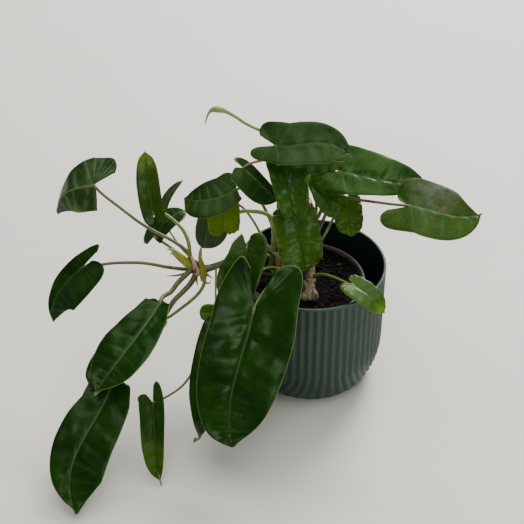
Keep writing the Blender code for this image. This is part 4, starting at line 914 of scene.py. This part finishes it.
def make_plant(looks):
    sides, slim = ((32, 14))
    for name, leaf in LEAVES.items():
        blade = Blade(*leaf)
        make_blade(name, blade, looks)
        sweep(name + "_stalk", stalk_rows(blade), slim, looks[blade.skin], "leaf_" + name, "stem_skin")
    for name, points, look, replaced, slot, *bumps in STEM_PIECES:
        sweep(name, stem_rows(points), sides, looks[look], replaced, slot, gnarled(*bumps))
    for i, (look, thin, *points) in enumerate(SPIKES + FINE_SPIKES):
        place = ("trailing_stem", "stem_skin") if i < len(SPIKES) else (None, "old_stem_bark")
        sweep(f"growth_spike_{i + 1}", stem_rows(points, 0.6), 12, looks[look], *place, flattened(thin))
    sweep("rolled_new_leaf", stem_rows(NEW_LEAF), 14, looks["new"], "leaf_new_rolled", "leaf_new")
    for i, (stem, low, high, reach, spin, flare) in enumerate(WRAPS):
        rows = np.array([smooth_at(np.array(stem) * MM, u) for u in np.linspace(low, high, 22)])
        wrap(f"dry_sheath_{i + 1}", rows, reach, spin, flare, looks["husk"])
    make_frill(looks["mid"])
    make_rootlets(looks["root"])


def make_frill(looks):
    """A ruffled leaf edge under the top leaf."""
    verts, fresh = [], []
    steps, wide = 140, 9
    for u in np.linspace(0, 1, steps):
        x, top, drop, pale = smooth_at(FRILL, u)
        turn = tau * FRILL_WAVES * (u + 0.04 * sin(9 * u))
        for v in np.linspace(0, 1, wide):
            out = 1.3 * v * v * sin(turn)
            down = v * (drop + 0.6 * pale * cos(turn))
            verts.append(np.array((x, FRILL_BACK - out, top - down)) * MM)
            fresh.append(pale * 0.5)
    obj = piece_from("ruffled_edge", verts, quads(steps, wide), looks, None, "leaf_young", {"fresh": fresh})
    thicken(obj)


def make_rootlets(looks):
    """Short dry roots round the growth point and along the runner."""
    draw = np.random.default_rng(23)
    rows = stem_rows(RUNNER, 2)
    for i in range(12):
        at = rows[draw.integers(len(rows) // 2, len(rows) - 4)]
        way = unit(np.array((draw.uniform(-1, 1), draw.uniform(-1, 0.4), draw.uniform(-1.2, 0.3))))
        droop = np.array((0, 0, -1)) * draw.uniform(0.2, 0.8)
        reach = draw.uniform(3, 8) * MM
        path = [(*(at[:3] + way * at[3] * 0.7 + (way * s + droop * s * s) * reach), (0.55 - 0.4 * s) * MM)
                for s in np.linspace(0, 1, 8)]
        sweep(f"rootlet_{i + 1}", np.array(path), 7, looks, None, "old_stem_bark")


def make_stage():
    """A plain pale floor, soft light and the photograph's camera."""
    mesh = bpy.data.meshes.new("studio_floor")
    mesh.from_pydata([(-8, -4, 0), (8, -4, 0), (8, 12, 0), (-8, 12, 0)], [], [(0, 1, 2, 3)])
    mesh.materials.append(surface("studio_floor_paint", plain_skin,
                                  (0.88, 0.85, 0.79), (0.86, 0.83, 0.77), 2, 0.85, 0.02, 300))
    linked("studio_floor", mesh)
    for name, (place, size, power, tint) in LIGHTS.items():
        light = bpy.data.lights.new(name, "AREA")
        light.shape, light.size, light.energy, light.color = "DISK", size, power, tint
        obj = linked(name, light)
        obj.location = place
        obj.rotation_euler = (Vector(LIGHT_TARGET) - Vector(place)).to_track_quat("-Z", "Y").to_euler()
    world = bpy.data.worlds.new("studio")
    bpy.context.scene.world = world
    world.use_nodes = True
    sky = world.node_tree.nodes["Background"]
    sky.inputs["Color"].default_value = opaque((0.95, 0.97, 1))
    sky.inputs["Strength"].default_value = 0.2
    lens = bpy.data.cameras.new("camera")
    lens.sensor_width = 36
    lens.lens = CAMERA_LENS
    camera = linked("camera", lens)
    camera.location = CAMERA_PLACE
    camera.rotation_euler = (radians(CAMERA_TILT), 0, 0)
    bpy.context.scene.camera = camera


def main():
    looks = make_looks()
    make_stage()
    make_outer_pot(looks["pot"])
    make_nursery_pot(looks["nursery"])
    make_soil(looks)
    make_plant(looks)


main()
bpy.context.view_layer.update()
